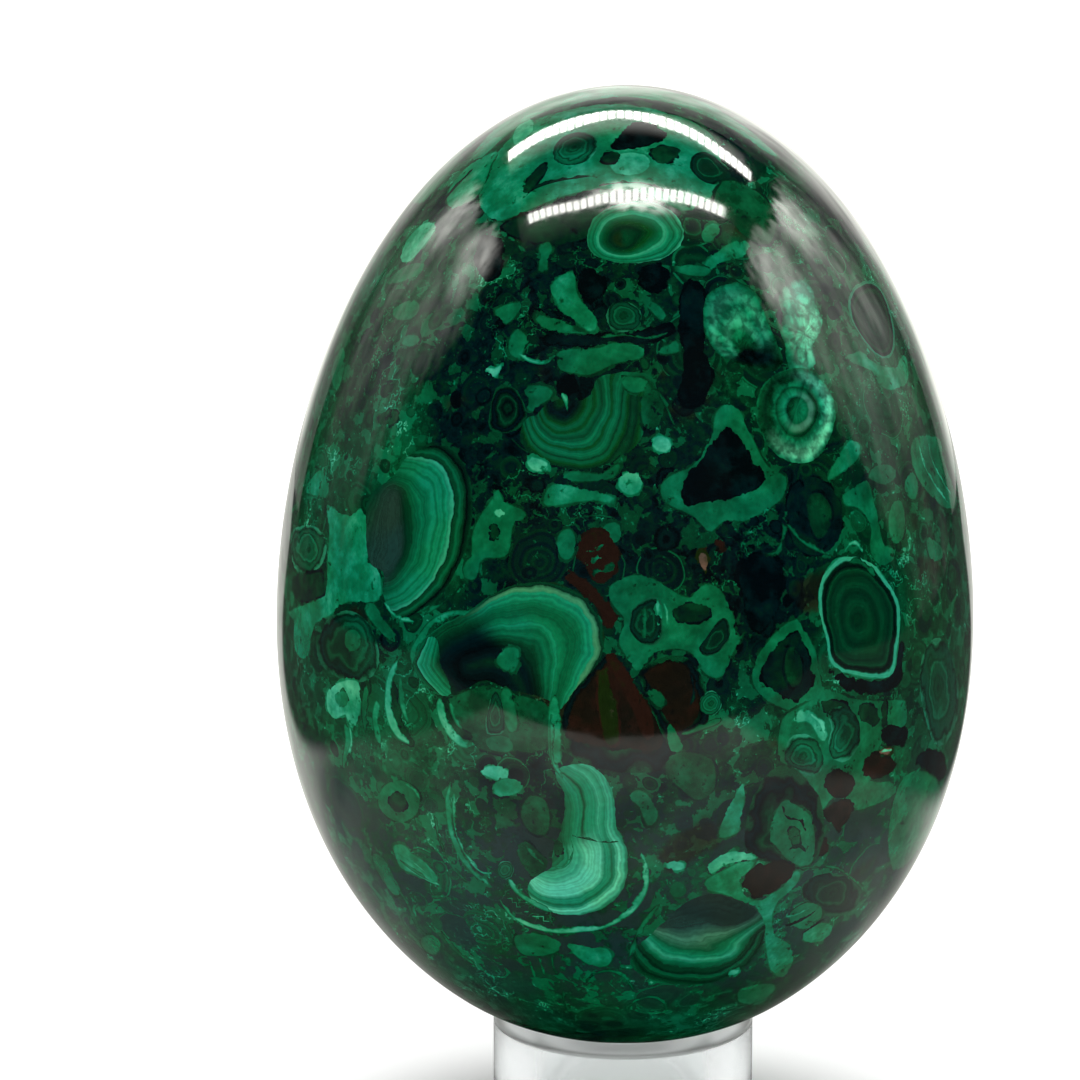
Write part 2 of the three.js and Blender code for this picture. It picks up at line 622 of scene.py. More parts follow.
vein("flake line right", "leaf", 2, [(600, 338), (625, 335), (650, 338), (668, 333)])
nodule("ink nodule", "rings", (508, 408), [
    (489, 425), (492, 400), (500, 385), (515, 389), (525, 405), (526, 420), (515, 431), (500, 433),
], bright=0.0)
nodule("bowl", "bowl", (557, 414), [
    (525, 420), (520, 438), (532, 456), (556, 466), (582, 470), (606, 465), (618, 456), (632, 450),
    (642, 436), (644, 410), (652, 396), (657, 385), (646, 374), (620, 372), (598, 379), (592, 392),
    (580, 400), (560, 400), (545, 405), (536, 415),
], bright=1.0, dim=0.8, sun=(0.3, 1), outer=[
    (515, 400), (519, 430), (532, 456), (556, 468), (582, 472), (606, 467), (622, 450), (632, 425),
    (634, 395),
], inner=[(549, 402), (552, 412), (566, 414), (575, 402)])
patch("bowl top", "leaf", [(618, 378), (632, 375), (646, 379), (651, 386), (641, 393), (628, 392)])
patch("bowl crust", "moss", [(640, 397), (655, 388), (666, 400), (664, 420), (652, 432), (642, 425)])
patch("pale crumb", "mint", [(527, 455), (540, 458), (551, 465), (545, 473), (532, 471), (526, 463)])
patch("pale crumb right", "mint", [(650, 440), (660, 434), (673, 442), (668, 453), (655, 451)])
patch("crust low", "leaf", [
    (556, 474), (575, 470), (600, 472), (612, 466), (622, 462), (616, 478), (595, 482), (570, 482),
])
vein("bowl heart", "mint", 3, [(561, 394), (566, 402), (568, 412)])
vein("bowl side", "leaf", 4, [(659, 394), (668, 408), (675, 426)])
# A painted highlight: a tiny white glint of lamplight on the polish.
vein("white fleck", "pale", 4, [(656, 427), (659, 431)])

# %% [markdown]
# ## The brush, the cluster and the rosette
#
# On the upper right, three pale growths stand in a row. The brush opens upwards from a dark
# foot, the cluster is cracked into small plates, and the rosette is a round flower of rings.

# %% Draw the upper right
nodule("brush", "brush", (743, 350), [
    (703, 325), (705, 300), (719, 287), (740, 283), (758, 296), (767, 318), (777, 344), (784, 362),
    (775, 371), (755, 369), (735, 363), (717, 353), (708, 340),
], sun=(-0.45, -1))
nodule("cluster", "cluster", (805, 335), [
    (778, 300), (785, 285), (800, 279), (813, 290), (816, 305), (823, 320), (819, 335), (813, 345),
    (816, 365), (800, 373), (788, 366), (785, 345), (780, 330), (783, 315),
], sun=(1, -0.2))
nodule("rosette", "rosette", (797, 408), [
    (757, 400), (765, 382), (782, 371), (806, 369), (824, 382), (835, 402), (834, 425), (826, 446),
    (812, 461), (795, 463), (778, 456), (765, 440), (757, 422),
], sun=(1, 0.35))
nodule("right oval", "pear", (874, 325), [
    (848, 300), (857, 285), (872, 281), (886, 298), (894, 328), (894, 350), (886, 359), (872, 351),
    (860, 335), (851, 318),
], bright=0.45)
patch("right filling", "jade", [
    (842, 358), (860, 350), (872, 360), (885, 366), (896, 365), (904, 352), (909, 370), (906, 386),
    (891, 391), (878, 385), (872, 372), (855, 365),
])
patch("right edge", "leaf", [
    (911, 440), (925, 434), (940, 438), (944, 460), (952, 482), (958, 505), (948, 510), (934, 500),
    (921, 485), (912, 465),
])
vein("right edge inner", "mint", 4, [(918, 442), (924, 464), (936, 486), (948, 503)])
vein("right edge middle", "mint", 3, [(928, 440), (932, 460), (942, 480), (952, 496)])
vein("right edge outer", "jade", 3, [(937, 442), (941, 460), (950, 480)])
patch("right chip", "jade", [
    (827, 476), (838, 455), (850, 439), (861, 445), (858, 460), (845, 471), (830, 481),
])
patch("right crumb", "leaf", [(867, 476), (875, 465), (890, 464), (898, 475), (886, 486), (872, 481)])
patch("right sliver", "leaf", [(904, 480), (912, 470), (919, 485), (915, 501), (906, 495)])
patch("right branch", "leaf", [
    (842, 495), (855, 485), (868, 479), (873, 495), (877, 510), (881, 530), (885, 545), (896, 548),
    (894, 560), (884, 567), (873, 560), (869, 545), (871, 530), (865, 516), (857, 508), (845, 506),
])
patch("right twig", "leaf", [(890, 505), (901, 499), (906, 520), (903, 540), (895, 546), (888, 530)])
patch("right fleck", "leaf", [(926, 535), (940, 544), (944, 555), (938, 563), (929, 558)])
patch("teal nodule", "night", [
    (786, 500), (795, 482), (815, 476), (835, 490), (843, 512), (840, 540), (822, 556), (800, 552),
    (788, 530),
], curved=True)
patch("teal sheen", "bottle", [
    (806, 498), (820, 492), (832, 508), (830, 530), (818, 540), (808, 522),
], curved=True)
vein("teal edge", "leaf", 3, [(786, 524), (800, 539), (815, 549), (836, 557)])
vein("teal curl", "leaf", 4, [(783, 519), (784, 535), (778, 551), (764, 556)])

# %% [markdown]
# ## The crescent and the left edge
#
# A half-moon of fine bands stands on the left, brightest along its right side. Beyond it a
# jade filling reaches to the egg's edge between dark round nodules.

# %% Draw the left side
patch("left filling", "jade", [
    (326, 505), (335, 508), (350, 515), (360, 507), (369, 520), (370, 545), (368, 562), (378, 566),
    (382, 585), (380, 600), (366, 604), (352, 602), (341, 606), (331, 616), (316, 624), (311, 640),
    (309, 656), (299, 659), (293, 640), (294, 622), (287, 612), (298, 606), (318, 598), (326, 588),
    (327, 560), (329, 530),
])
patch("left tail", "leaf", [
    (364, 604), (374, 602), (384, 618), (396, 634), (398, 644), (388, 640), (376, 628), (366, 614),
])
nodule("left eye", "rings", (309, 548), [
    (291, 535), (298, 527), (314, 526), (325, 539), (326, 555), (317, 569), (300, 573), (292, 560),
], bright=0.55)
patch("left dark", "bottle", [(292, 576), (310, 573), (323, 572), (327, 590), (318, 598), (297, 602)])
patch("left upper chip", "jade", [(304, 492), (314, 474), (323, 469), (329, 485), (327, 499), (318, 497)])
patch("left streak", "leaf", [(331, 371), (339, 350), (345, 347), (344, 370), (338, 391), (333, 388)])
patch("left high chip", "leaf", [(391, 312), (400, 303), (415, 299), (421, 308), (413, 319), (398, 321)])
patch("left mid chip", "leaf", [(399, 340), (408, 334), (421, 336), (416, 346), (404, 347)])
patch("left low chip", "moss", [(377, 416), (388, 409), (400, 412), (396, 424), (382, 427)])
nodule("crescent", "crescent", (390, 530), [
    (369, 496), (394, 476), (404, 460), (420, 449), (436, 445), (454, 451), (468, 474), (473, 505),
    (468, 540), (455, 574), (435, 600), (405, 618), (390, 612), (383, 594), (384, 574), (370, 563),
    (366, 530),
], bright=1.0, dim=0.15, sun=(1, 0.1), outer=[
    (380, 452), (405, 441), (436, 442), (456, 450), (470, 474), (475, 505), (470, 540), (457, 574),
    (437, 602), (405, 622), (378, 632),
], inner=[(392, 500), (391, 516), (392, 534), (393, 552), (386, 566)])
vein("crescent foot", "mint", 3, [(383, 600), (391, 612), (400, 619), (414, 622)])
vein("crescent hem", "leaf", 3, [(420, 616), (438, 606), (454, 590)])
nodule("lower left eye", "rings", (350, 645), [
    (319, 640), (329, 618), (350, 611), (366, 620), (376, 640), (379, 665), (366, 681), (345, 680),
    (327, 671), (317, 655),
], bright=0.4, dim=0.1, sun=(1, -0.3))
patch("eye core", "leaf", [(345, 632), (356, 629), (362, 640), (357, 651), (346, 650)], curved=True)
patch("left blotch", "mint", [
    (327, 690), (340, 681), (356, 679), (361, 690), (361, 710), (357, 726), (350, 729), (345, 715),
    (335, 721), (327, 710),
])
patch("blotch heart", "jade", [(334, 694), (344, 690), (349, 698), (346, 708), (337, 706)])
vein("left band shade", "bottle", 12, [(394, 680), (395, 706), (402, 730), (414, 748)])
vein("left band", "mint", 9, [(398, 660), (391, 676), (388, 696), (389, 714), (396, 731), (409, 744)])
vein("left band light", "jade", 8, [(377, 700), (375, 720), (379, 744)])
vein("left band inner", "jade", 6, [(400, 676), (402, 704), (410, 725)])
vein("left band outer", "leaf", 8, [(367, 684), (364, 708), (366, 734)])
vein("left drop", "jade", 9, [(345, 724), (348, 742), (343, 768)])
vein("left drop light", "mint", 3, [(349, 726), (351, 742), (346, 760)])
nodule("left pool", "rings", (463, 716), [
    (444, 700), (460, 694), (479, 705), (484, 720), (476, 736), (460, 740), (446, 729),
], bright=0.25)
vein("left hem", "moss", 3, [(444, 586), (444, 607)])
vein("left hem short", "moss", 3, [(465, 589), (469, 602)])
patch("arrow", "leaf", [
    (497, 484), (504, 500), (516, 506), (526, 511), (526, 521), (514, 523), (512, 540), (508, 556),
    (495, 559), (481, 560), (478, 579), (464, 579), (462, 565), (471, 555), (471, 535), (477, 520),
    (484, 508), (491, 500),
])
patch("arrow slit", "bottle", [(490, 519), (500, 529), (499, 541), (490, 539)])
patch("arrow head", "mint", [(492, 510), (500, 507), (507, 514), (506, 521), (498, 519)])

# %% [markdown]
# ## The arch
#
# The egg's largest nodule is an arch of bands round a dark heart, with a brown-stained rim.
# Brown and olive nodules lean against its right side.

# %% Draw the arch and its brown neighbours
nodule("arch", "arch", (508, 658), [
    (421, 643), (440, 626), (468, 611), (500, 590), (540, 581), (576, 591), (600, 620), (604, 648),
    (592, 672), (574, 694), (557, 712), (548, 700), (530, 694), (505, 688), (484, 680), (466, 690),
    (450, 696), (432, 692), (420, 680), (414, 662),
], bright=1.0, dim=0.0, sun=(1, -0.75), outer=[
    (440, 697), (420, 682), (413, 662), (421, 641), (440, 624), (468, 608), (500, 588), (540, 579),
    (578, 589), (602, 619), (606, 648), (594, 674), (576, 698), (562, 722),
], inner=[(468, 668), (488, 662), (508, 668), (520, 684), (528, 706)])
patch("under arch leaf", "moss", [
    (444, 700), (462, 692), (484, 684), (505, 690), (530, 697), (549, 704), (553, 722), (552, 745),
    (535, 754), (515, 752), (500, 755), (480, 750), (458, 742), (446, 722),
])
patch("arch core", "jade", [
    (495, 662), (500, 650), (512, 646), (520, 650), (519, 664), (512, 674), (502, 669),
])
patch("arch slip", "leaf", [(500, 690), (510, 688), (516, 706), (518, 730), (508, 732), (502, 712)])
nodule("nested wedge", "rings", (495, 715), [
    (485, 729), (496, 689), (506, 728), (495, 735),
], bright=0.3)
nodule("arch lobe", "crescent", (446, 662), [
    (418, 650), (426, 638), (436, 638), (439, 652), (441, 666), (448, 680), (452, 693), (445, 696),
    (432, 689), (421, 679), (414, 666),
], bright=1.0, outer=[(424, 632), (412, 650), (408, 664), (417, 684), (436, 701), (450, 706)],
    inner=[(448, 640), (447, 660), (456, 676), (462, 690)])
vein("arch left line", "jade", 7, [(470, 611), (448, 615), (431, 624), (421, 637), (413, 651), (412, 664)])
vein("arch hook shade", "bottle", 11, [(444, 696), (450, 716), (458, 732), (472, 738)])
vein("arch hook", "mint", 9, [(438, 698), (442, 716), (450, 732), (462, 743), (476, 744)])
vein("arch hook inner", "jade", 5, [(450, 700), (454, 716), (462, 729)])
patch("under arch", "leaf", [(483, 739), (500, 734), (513, 740), (515, 751), (500, 753), (487, 749)])
patch("under arch pale", "mint", [(479, 772), (488, 765), (503, 766), (511, 775), (503, 783), (489, 778)])
patch("under arch jade", "jade", [(491, 785), (505, 777), (521, 780), (523, 791), (505, 798), (493, 794)])
vein("stem", "jade", 12, [(555, 694), (554, 722), (554, 748), (557, 764)])
vein("stem light", "jade", 3, [(551, 712), (551, 738), (553, 762), (562, 778)])
patch("band above arch", "jade", [
    (542, 502), (548, 486), (560, 483), (580, 487), (600, 491), (616, 498), (613, 506), (595, 501),
    (565, 505), (549, 507),
])
vein("band echo", "leaf", 2.5, [(534, 514), (560, 520), (590, 515), (613, 518)])
patch("middle blob", "mint", [
    (617, 482), (622, 473), (635, 471), (644, 480), (640, 493), (628, 496), (619, 490),
])
patch("left of stripes", "leaf", [(557, 535), (568, 527), (576, 535), (575, 555), (565, 561), (557, 552)])
patch("right of stripes", "leaf", [(600, 530), (610, 521), (621, 525), (623, 540), (615, 546), (603, 541)])
patch("striped brown", "rust", [
    (576, 545), (585, 534), (600, 529), (612, 536), (620, 550), (617, 570), (605, 583), (592, 581),
    (585, 565), (577, 556),
])
patch("stripe one", "leaf", [(582, 550), (594, 545), (605, 541), (608, 545), (596, 550), (584, 555)])
patch("stripe two", "jade", [(585, 561), (597, 556), (609, 552), (611, 557), (599, 561), (588, 566)])
patch("stripe three", "leaf", [(590, 572), (601, 567), (612, 563), (614, 568), (603, 572), (593, 577)])
patch("rust rim", "rust", [
    (566, 571), (582, 577), (598, 590), (610, 603), (618, 618), (614, 630), (604, 626), (600, 612),
    (590, 600), (578, 590), (566, 582),
])
patch("tan spot", "tan", [(697, 554), (704, 550), (710, 560), (706, 572), (700, 568)])
patch("tan crumb", "rust", [(713, 535), (722, 539), (728, 546), (720, 551), (714, 545)])
nodule("olive lens", "rings", (600, 715), [
    (561, 730), (565, 705), (580, 684), (598, 664), (610, 654), (623, 668), (641, 692), (661, 715),
    (673, 740), (668, 766), (640, 773), (600, 769), (574, 758), (563, 745),
], bright=0.0)
patch("lens brown", "bark", [
    (566, 728), (570, 706), (584, 688), (600, 670), (610, 660), (622, 674), (638, 697), (656, 718),
    (664, 740), (656, 752), (625, 750), (590, 746), (570, 742),
])
patch("lens olive", "olive", [
    (599, 672), (607, 668), (612, 686), (618, 712), (620, 742), (606, 744), (600, 720), (597, 694),
])
patch("lens rust", "rust", [
    (604, 652), (612, 655), (626, 668), (640, 690), (652, 712), (656, 738), (644, 740), (634, 715),
    (622, 690), (610, 668),
])
nodule("brown nodule", "rings", (672, 698), [
    (638, 674), (649, 662), (668, 656), (686, 657), (698, 670), (706, 690), (710, 714), (700, 732),
    (680, 742), (664, 738), (654, 715), (646, 695),
], bright=0.0)
patch("brown fill", "bark", [
    (643, 676), (653, 667), (668, 661), (683, 663), (692, 674), (698, 692), (700, 712), (692, 726),
    (676, 734), (666, 724), (660, 706), (652, 690),
], curved=True)
vein("brown seam", "bottle", 2, [(690, 672), (694, 690), (690, 706)])
patch("brown drop", "leaf", [(645, 692), (655, 687), (666, 697), (664, 708), (655, 706)])
nodule("ring spot", "rings", (711, 703), [
    (700, 710), (702, 697), (711, 691), (720, 697), (721, 708), (712, 716),
], bright=0.7)

# %% [markdown]
# ## The green web and the triangle
#
# Right of the middle, leaf-green filling runs between black holes: a triangle with a hollow
# heart, and below it a web with two dark eyes.

# %% Draw the web and the triangle
patch("web", "leaf", [
    (606, 590), (622, 577), (642, 574), (660, 581), (675, 591), (690, 597), (700, 585), (716, 584),
    (728, 600), (736, 620), (737, 635), (748, 630), (741, 642), (734, 652), (729, 668), (722, 678),
    (710, 678), (700, 669), (693, 656), (680, 650), (660, 652), (650, 660), (640, 673), (632, 668),
    (624, 655), (617, 640), (624, 620), (614, 608),
])
patch("ink field", "ink", [
    (737, 566), (758, 552), (782, 562), (784, 590), (776, 616), (760, 634), (748, 622), (742, 596),
])
nodule("web left eye", "rings", (647, 622), [
    (629, 620), (634, 607), (648, 598), (661, 600), (663, 620), (662, 640), (650, 646), (638, 641),
    (630, 631),
], bright=0.15)
patch("eye bar", "leaf", [(640, 605), (645, 603), (648, 622), (646, 640), (641, 641), (642, 622)])
patch("eye bar right", "mint", [(654, 601), (660, 600), (663, 620), (661, 640), (656, 641), (657, 620)])
patch("web middle", "bottle", [
    (671, 608), (690, 602), (705, 604), (713, 612), (705, 621), (690, 623), (677, 622),
])
nodule("web right eye", "rings", (716, 638), [
    (704, 640), (715, 625), (724, 617), (731, 628), (728, 642), (716, 653), (705, 656), (699, 648),
], bright=0.1)
vein("web streak", "mint", 4, [(664, 600), (667, 612), (668, 625)])
patch("triangle", "leaf", [
    (726, 402), (740, 409), (749, 428), (759, 450), (769, 466), (786, 475), (787, 490), (782, 500),
    (770, 509), (755, 518), (740, 523), (725, 521), (712, 533), (703, 528), (694, 518), (680, 511),
    (664, 503), (659, 490), (663, 480), (676, 472), (691, 466), (702, 450), (712, 433), (714, 414),
])
patch("triangle hollow", "ink", [
    (727, 428), (737, 434), (746, 447), (755, 462), (764, 474), (763, 485), (750, 493), (735, 498),
    (715, 501), (695, 506), (684, 501), (682, 484), (694, 467), (706, 449), (717, 435),
])
patch("diamond", "leaf", [
    (797, 618), (806, 630), (816, 650), (820, 668), (823, 685), (833, 695), (800, 706), (790, 711),
    (775, 706), (760, 696), (751, 680), (754, 660), (765, 644), (780, 627),
])
patch("diamond hollow", "night", [
    (799, 631), (806, 646), (812, 664), (813, 684), (804, 697), (792, 701), (776, 693), (762, 680),
    (763, 662), (774, 647), (787, 636),
])
patch("diamond sheen", "bottle", [
    (786, 650), (796, 646), (803, 664), (802, 682), (792, 688), (784, 672),
], curved=True)

# %% [markdown]
# ## The pear and the right side
#
# A pear-shaped nodule with one mint outline hangs on the right. Under it, a web of leaf green
# surrounds brown and black nodules.

# %% Draw the right side
patch("pear shadow", "ink", [
    (827, 668), (835, 680), (850, 691), (870, 695), (890, 691), (901, 680), (904, 650), (900, 640),
    (890, 676), (865, 680), (845, 676),
], curved=True)
nodule("pear", "pear", (856, 620), [
    (840, 557), (829, 565), (821, 580), (818, 600), (821, 620), (826, 640), (829, 660), (838, 669),
    (850, 675), (870, 679), (889, 677), (896, 665), (899, 640), (900, 610), (893, 590), (881, 572),
    (868, 561), (855, 557),
], bright=1.0)
vein("pear stalk", "mint", 3, [(842, 556), (848, 545), (857, 544), (863, 553)])
vein("pear shoulder", "leaf", 6, [(848, 561), (863, 563), (876, 577)])
patch("right web", "leaf", [
    (800, 706), (815, 696), (826, 686), (850, 697), (880, 700), (906, 700), (906, 726), (891, 736),
    (880, 746), (871, 780), (890, 780), (898, 790), (886, 801), (870, 807), (855, 811), (840, 797),
    (830, 801), (822, 813), (814, 800), (804, 785), (794, 770), (779, 762), (777, 745), (781, 720),
    (790, 711),
])
patch("web hole one", "bottle", [(818, 703), (830, 699), (846, 703), (851, 712), (843, 723), (831, 719)])
patch("web hole two", "bottle", [(857, 705), (868, 703), (878, 710), (880, 726), (862, 723)])
patch("web hole three", "bottle", [(882, 700), (887, 700), (887, 726), (881, 726)])
patch("web hole four", "moss", [(838, 725), (848, 730), (856, 745), (852, 758), (840, 758), (831, 748)])
patch("ink block", "ink", [(880, 728), (906, 727), (904, 746), (890, 746), (884, 742)])
patch("cream fleck", "tan", [(877, 753), (884, 748), (897, 748), (894, 753), (885, 756)])
vein("cream light", "pale", 1.5, [(880, 752), (893, 750)])
patch("bark chip", "bark", [(862, 770), (870, 752), (885, 757), (896, 760), (893, 773), (870, 779)])
patch("bark nodule", "bark", [
    (825, 782), (832, 772), (845, 771), (854, 780), (853, 792), (840, 798), (829, 793),
], curved=True)
patch("bark wedge", "bark", [
    (823, 812), (832, 802), (849, 800), (853, 812), (843, 826), (838, 833), (829, 822),
])
patch("bark crumb", "bark", [(814, 842), (828, 838), (831, 850), (820, 856), (813, 850)])
nodule("web curl", "rings", (842, 736), [
    (828, 712), (845, 707), (859, 720), (859, 744), (848, 761), (833, 759), (828, 744), (832, 728),
], bright=0.75, dim=0.2, sun=(-1, 0.4))
vein("squiggle", "mint", 12, [(793, 722), (804, 716), (814, 720), (821, 731), (825, 742)])
vein("squiggle light", "pale", 4, [(810, 714), (820, 722), (826, 736)])
nodule("curl", "rings", (803, 757), [
    (784, 760), (788, 741), (800, 734), (816, 740), (823, 755), (822, 769), (810, 776), (797, 770),
], bright=0.8, dim=0.3, sun=(1, -1))
nodule("rim oval", "rings", (938, 690), [
    (921, 695), (920, 668), (926, 648), (938, 637), (949, 650), (957, 680), (958, 710), (951, 735),
    (938, 746), (927, 725),
], bright=0.35)
patch("wedge", "ink", [(914, 762), (925, 751), (936, 749), (947, 765), (941, 781), (929, 773)])
patch("low right", "leaf", [
    (893, 800), (905, 775), (925, 770), (942, 790), (932, 830), (911, 860), (892, 871), (887, 840),
])

# %% [markdown]
# ## The fan
#
# Below the middle, a shell of pale bands opens downwards from a narrow neck, with two outer
# lines round it like the growth lines of a real shell.

# %% Draw the fan and the lower left
vein("shell line outer", "mint", 6, [
    (499, 898), (511, 914), (530, 925), (555, 931), (580, 930), (601, 927), (623, 917), (637, 904),
    (645, 888), (646, 868), (642, 852),
])
vein("shell rim", "mint", 6, [(508, 877), (515, 889), (527, 899), (541, 907), (554, 912)])
nodule("fan", "fan", (558, 848), [
    (556, 771), (575, 764), (592, 767), (604, 775), (611, 788), (615, 804), (616, 824), (622, 837),
    (627, 852), (628, 872), (622, 890), (611, 903), (596, 911), (577, 915), (558, 914), (543, 908),
    (531, 898), (527, 888), (532, 880), (541, 873), (551, 868), (552, 858), (553, 848), (557, 838),
    (562, 826), (565, 810), (564, 794), (558, 781),
], bright=1.0, dim=0.0, sun=(0.3, 1), outer=[
    (560, 752), (588, 758), (606, 770), (615, 788), (619, 806), (620, 826), (628, 838), (632, 855),
    (632, 876), (625, 894), (612, 907), (596, 915), (577, 919), (556, 918), (538, 911), (522, 899),
    (512, 884),
], inner=[(551, 782), (557, 802), (556, 822), (553, 836), (556, 846), (556, 856), (550, 862), (541, 864)])
patch("curl", "moss", [
    (516, 846), (524, 840), (533, 845), (543, 855), (552, 863), (544, 872), (533, 878), (524, 870),
    (518, 858),
])
patch("curl heart", "bottle", [(551, 846), (556, 839), (563, 841), (565, 849), (561, 856), (554, 855)])
vein("curl stroke", "jade", 4, [(526, 843), (531, 853), (539, 860), (548, 866)])
vein("curl hair", "mint", 2, [(552, 865), (560, 868), (568, 864), (572, 855), (572, 844), (568, 836)])
vein("fan crack", "leaf", 2, [(571, 835), (588, 839), (606, 842), (622, 841)])
vein("feather one", "jade", 7, [(452, 778), (448, 802), (451, 830), (461, 856), (476, 874), (490, 886)])
vein("feather light", "mint", 2, [(455, 790), (453, 812), (458, 838), (468, 858), (484, 872)])
vein("feather two", "leaf", 3, [(434, 815), (440, 842), (452, 866), (468, 884)])
vein("feather three", "mint", 3, [(469, 861), (482, 872), (493, 873)])
patch("feather web", "moss", [(519, 815), (528, 795), (546, 799), (551, 820), (546, 836), (530, 833)])
nodule("bubble", "rings", (505, 869), [
    (497, 870), (501, 862), (509, 861), (514, 869), (510, 878), (501, 878),
], bright=0.6)
patch("swirl", "leaf", [
    (377, 800), (384, 785), (400, 779), (416, 788), (421, 800), (416, 816), (400, 823), (384, 815),
], curved=True)
patch("swirl dark", "bottle", [(388, 800), (396, 791), (406, 796), (406, 808), (396, 814)], curved=True)
vein("swirl edge", "mint", 3, [(404, 783), (414, 790), (419, 799)])
vein("low left band", "jade", 6, [(415, 904), (413, 915), (410, 926)])
vein("low left band two", "leaf", 6, [(440, 930), (455, 950), (476, 966)])
vein("low left line", "mint", 3, [(414, 869), (426, 879), (441, 886)])
vein("low left line two", "leaf", 3, [(399, 859), (414, 871), (431, 881)])
patch("low left fibres", "jade", [
    (392, 846), (404, 844), (412, 853), (426, 862), (440, 880), (430, 883), (414, 874), (400, 868),
])
patch("low left flake", "leaf", [
    (372, 852), (384, 858), (394, 876), (402, 892), (394, 896), (382, 880), (374, 866),
])
vein("low left seam", "leaf", 6, [(398, 890), (408, 904), (416, 924), (426, 936)])
vein("low left hair", "mint", 2, [(396, 852), (412, 862), (432, 878)])
patch("low left chip", "leaf", [(420, 938), (432, 934), (442, 944), (436, 956), (424, 950)])

# %% Draw the lower middle
patch("cone", "moss", [
    (663, 770), (670, 754), (690, 751), (713, 759), (717, 780), (711, 796), (695, 801), (681, 790),
    (669, 780),
])
patch("pointed leaf", "leaf", [(666, 722), (673, 724), (681, 740), (686, 749), (672, 754), (666, 740)])
vein("pointed streak", "leaf", 6, [(680, 734), (700, 728), (723, 720)])
patch("bean", "leaf", [
    (626, 797), (635, 789), (646, 792), (656, 805), (659, 818), (650, 828), (644, 822), (639, 808),
    (631, 801),
])
patch("green blade", "jade", [
    (743, 781), (746, 795), (742, 820), (739, 833), (722, 839), (718, 834), (723, 815), (732, 798),
])
nodule("cave", "rings", (790, 840), [
    (747, 852), (749, 810), (764, 779), (785, 764), (806, 779), (820, 800), (824, 830), (817, 858),
    (800, 872), (780, 866),
], bright=0.0)
patch("cave leaf", "leaf", [
    (774, 845), (768, 838), (772, 819), (783, 799), (796, 804), (811, 815), (816, 840), (813, 862),
    (800, 867), (784, 858),
])
patch("cave heart", "moss", [(787, 836), (791, 826), (799, 829), (801, 842), (795, 848)], curved=True)
vein("cave crack", "ink", 2, [(782, 806), (788, 818), (800, 820), (806, 832)])
vein("cave crack low", "bottle", 2, [(788, 850), (798, 846), (806, 852)])
patch("filling", "jade", [
    (703, 882), (712, 875), (725, 869), (740, 861), (756, 861), (749, 872), (741, 880), (746, 894),
    (757, 900), (770, 894), (784, 885), (794, 870), (802, 874), (793, 890), (780, 900), (773, 915),
    (776, 935), (791, 944), (794, 960), (783, 979), (769, 969), (765, 945), (761, 925), (756, 909),
    (740, 903), (722, 894), (708, 891),
])
patch("speckled", "mint", [
    (705, 868), (715, 857), (734, 850), (752, 853), (758, 860), (741, 862), (724, 866), (712, 875),
])
patch("log", "bark", [
    (742, 882), (755, 867), (775, 861), (793, 865), (791, 878), (778, 889), (760, 898), (748, 893),
], curved=True)
nodule("disc", "disc", (702, 918), [
    (671, 915), (690, 900), (715, 894), (743, 902), (761, 915), (765, 935), (756, 956), (736, 974),
    (705, 984), (670, 984), (644, 976), (630, 962), (639, 945), (655, 931),
], bright=1.0, dim=0.5, sun=(-0.2, 1), outer=[
    (622, 940), (630, 964), (644, 978), (670, 987), (705, 987), (738, 976), (760, 957), (768, 935),
], inner=[(664, 914), (690, 905), (715, 900), (745, 908)])
vein("disc tail", "leaf", 5, [(660, 903), (650, 915), (640, 930), (634, 945), (628, 962)])
vein("low right line", "leaf", 3, [(800, 869), (830, 867), (851, 877), (871, 900)])
nodule("low right nodule", "rings", (832, 892), [
    (800, 890), (815, 876), (840, 874), (858, 888), (858, 905), (840, 916), (815, 912),
], bright=0.1)
patch("green stripes", "leaf", [(790, 912), (806, 902), (822, 906), (820, 922), (802, 930), (790, 924)])
patch("green stripes low", "jade", [(800, 938), (808, 928), (822, 922), (834, 926), (828, 938), (812, 944)])
vein("stripe mint", "mint", 4, [(785, 917), (797, 914), (812, 906)])
vein("stripe dark", "ink", 3, [(786, 926), (800, 921), (816, 911)])
vein("stripe dark low", "ink", 3, [(798, 936), (812, 927), (826, 918)])
patch("small mint", "mint", [(664, 865), (672, 860), (686, 863), (684, 870), (670, 871)])

# %% Draw the blunt end
patch("low leaf", "jade", [
    (562, 940), (585, 946), (608, 948), (613, 962), (600, 968), (585, 963), (571, 952),
])
patch("low leaf left", "leaf", [
    (514, 935), (533, 932), (561, 940), (561, 950), (545, 956), (525, 956), (516, 948),
])
vein("fibre one", "leaf", 2, [(528, 958), (531, 968), (535, 979)])
vein("fibre two", "jade", 2, [(539, 957), (542, 967), (545, 977)])
vein("fibre three", "leaf", 2, [(551, 956), (553, 966), (557, 976)])
vein("low arch", "leaf", 4, [(583, 986), (592, 975), (610, 971), (626, 978), (633, 991)])
vein("low hoop", "leaf", 4, [(624, 1015), (632, 1003), (650, 997), (664, 1003), (666, 1011)])
vein("low stem", "leaf", 4, [(563, 990), (565, 1003), (570, 1013)])
patch("low mint", "mint", [(727, 973), (734, 969), (741, 970), (736, 975), (729, 976)])
patch("low right leaf", "leaf", [(738, 990), (755, 984), (776, 984), (770, 996), (750, 1004), (738, 1002)])
print(len(drawing), "shapes and", len(veins), "veins")

# %% [markdown]
# ## Laying the drawing on the egg
#
# Each vertex stores how far inside an outline it lies, how deep in the bands, how bright its side
# is, and which kind of nodule it belongs to. Those are numbers that change smoothly, so the
# material can draw sharp outlines and hair-thin bands between the vertices. Shapes that overlap
# go to separate layers.

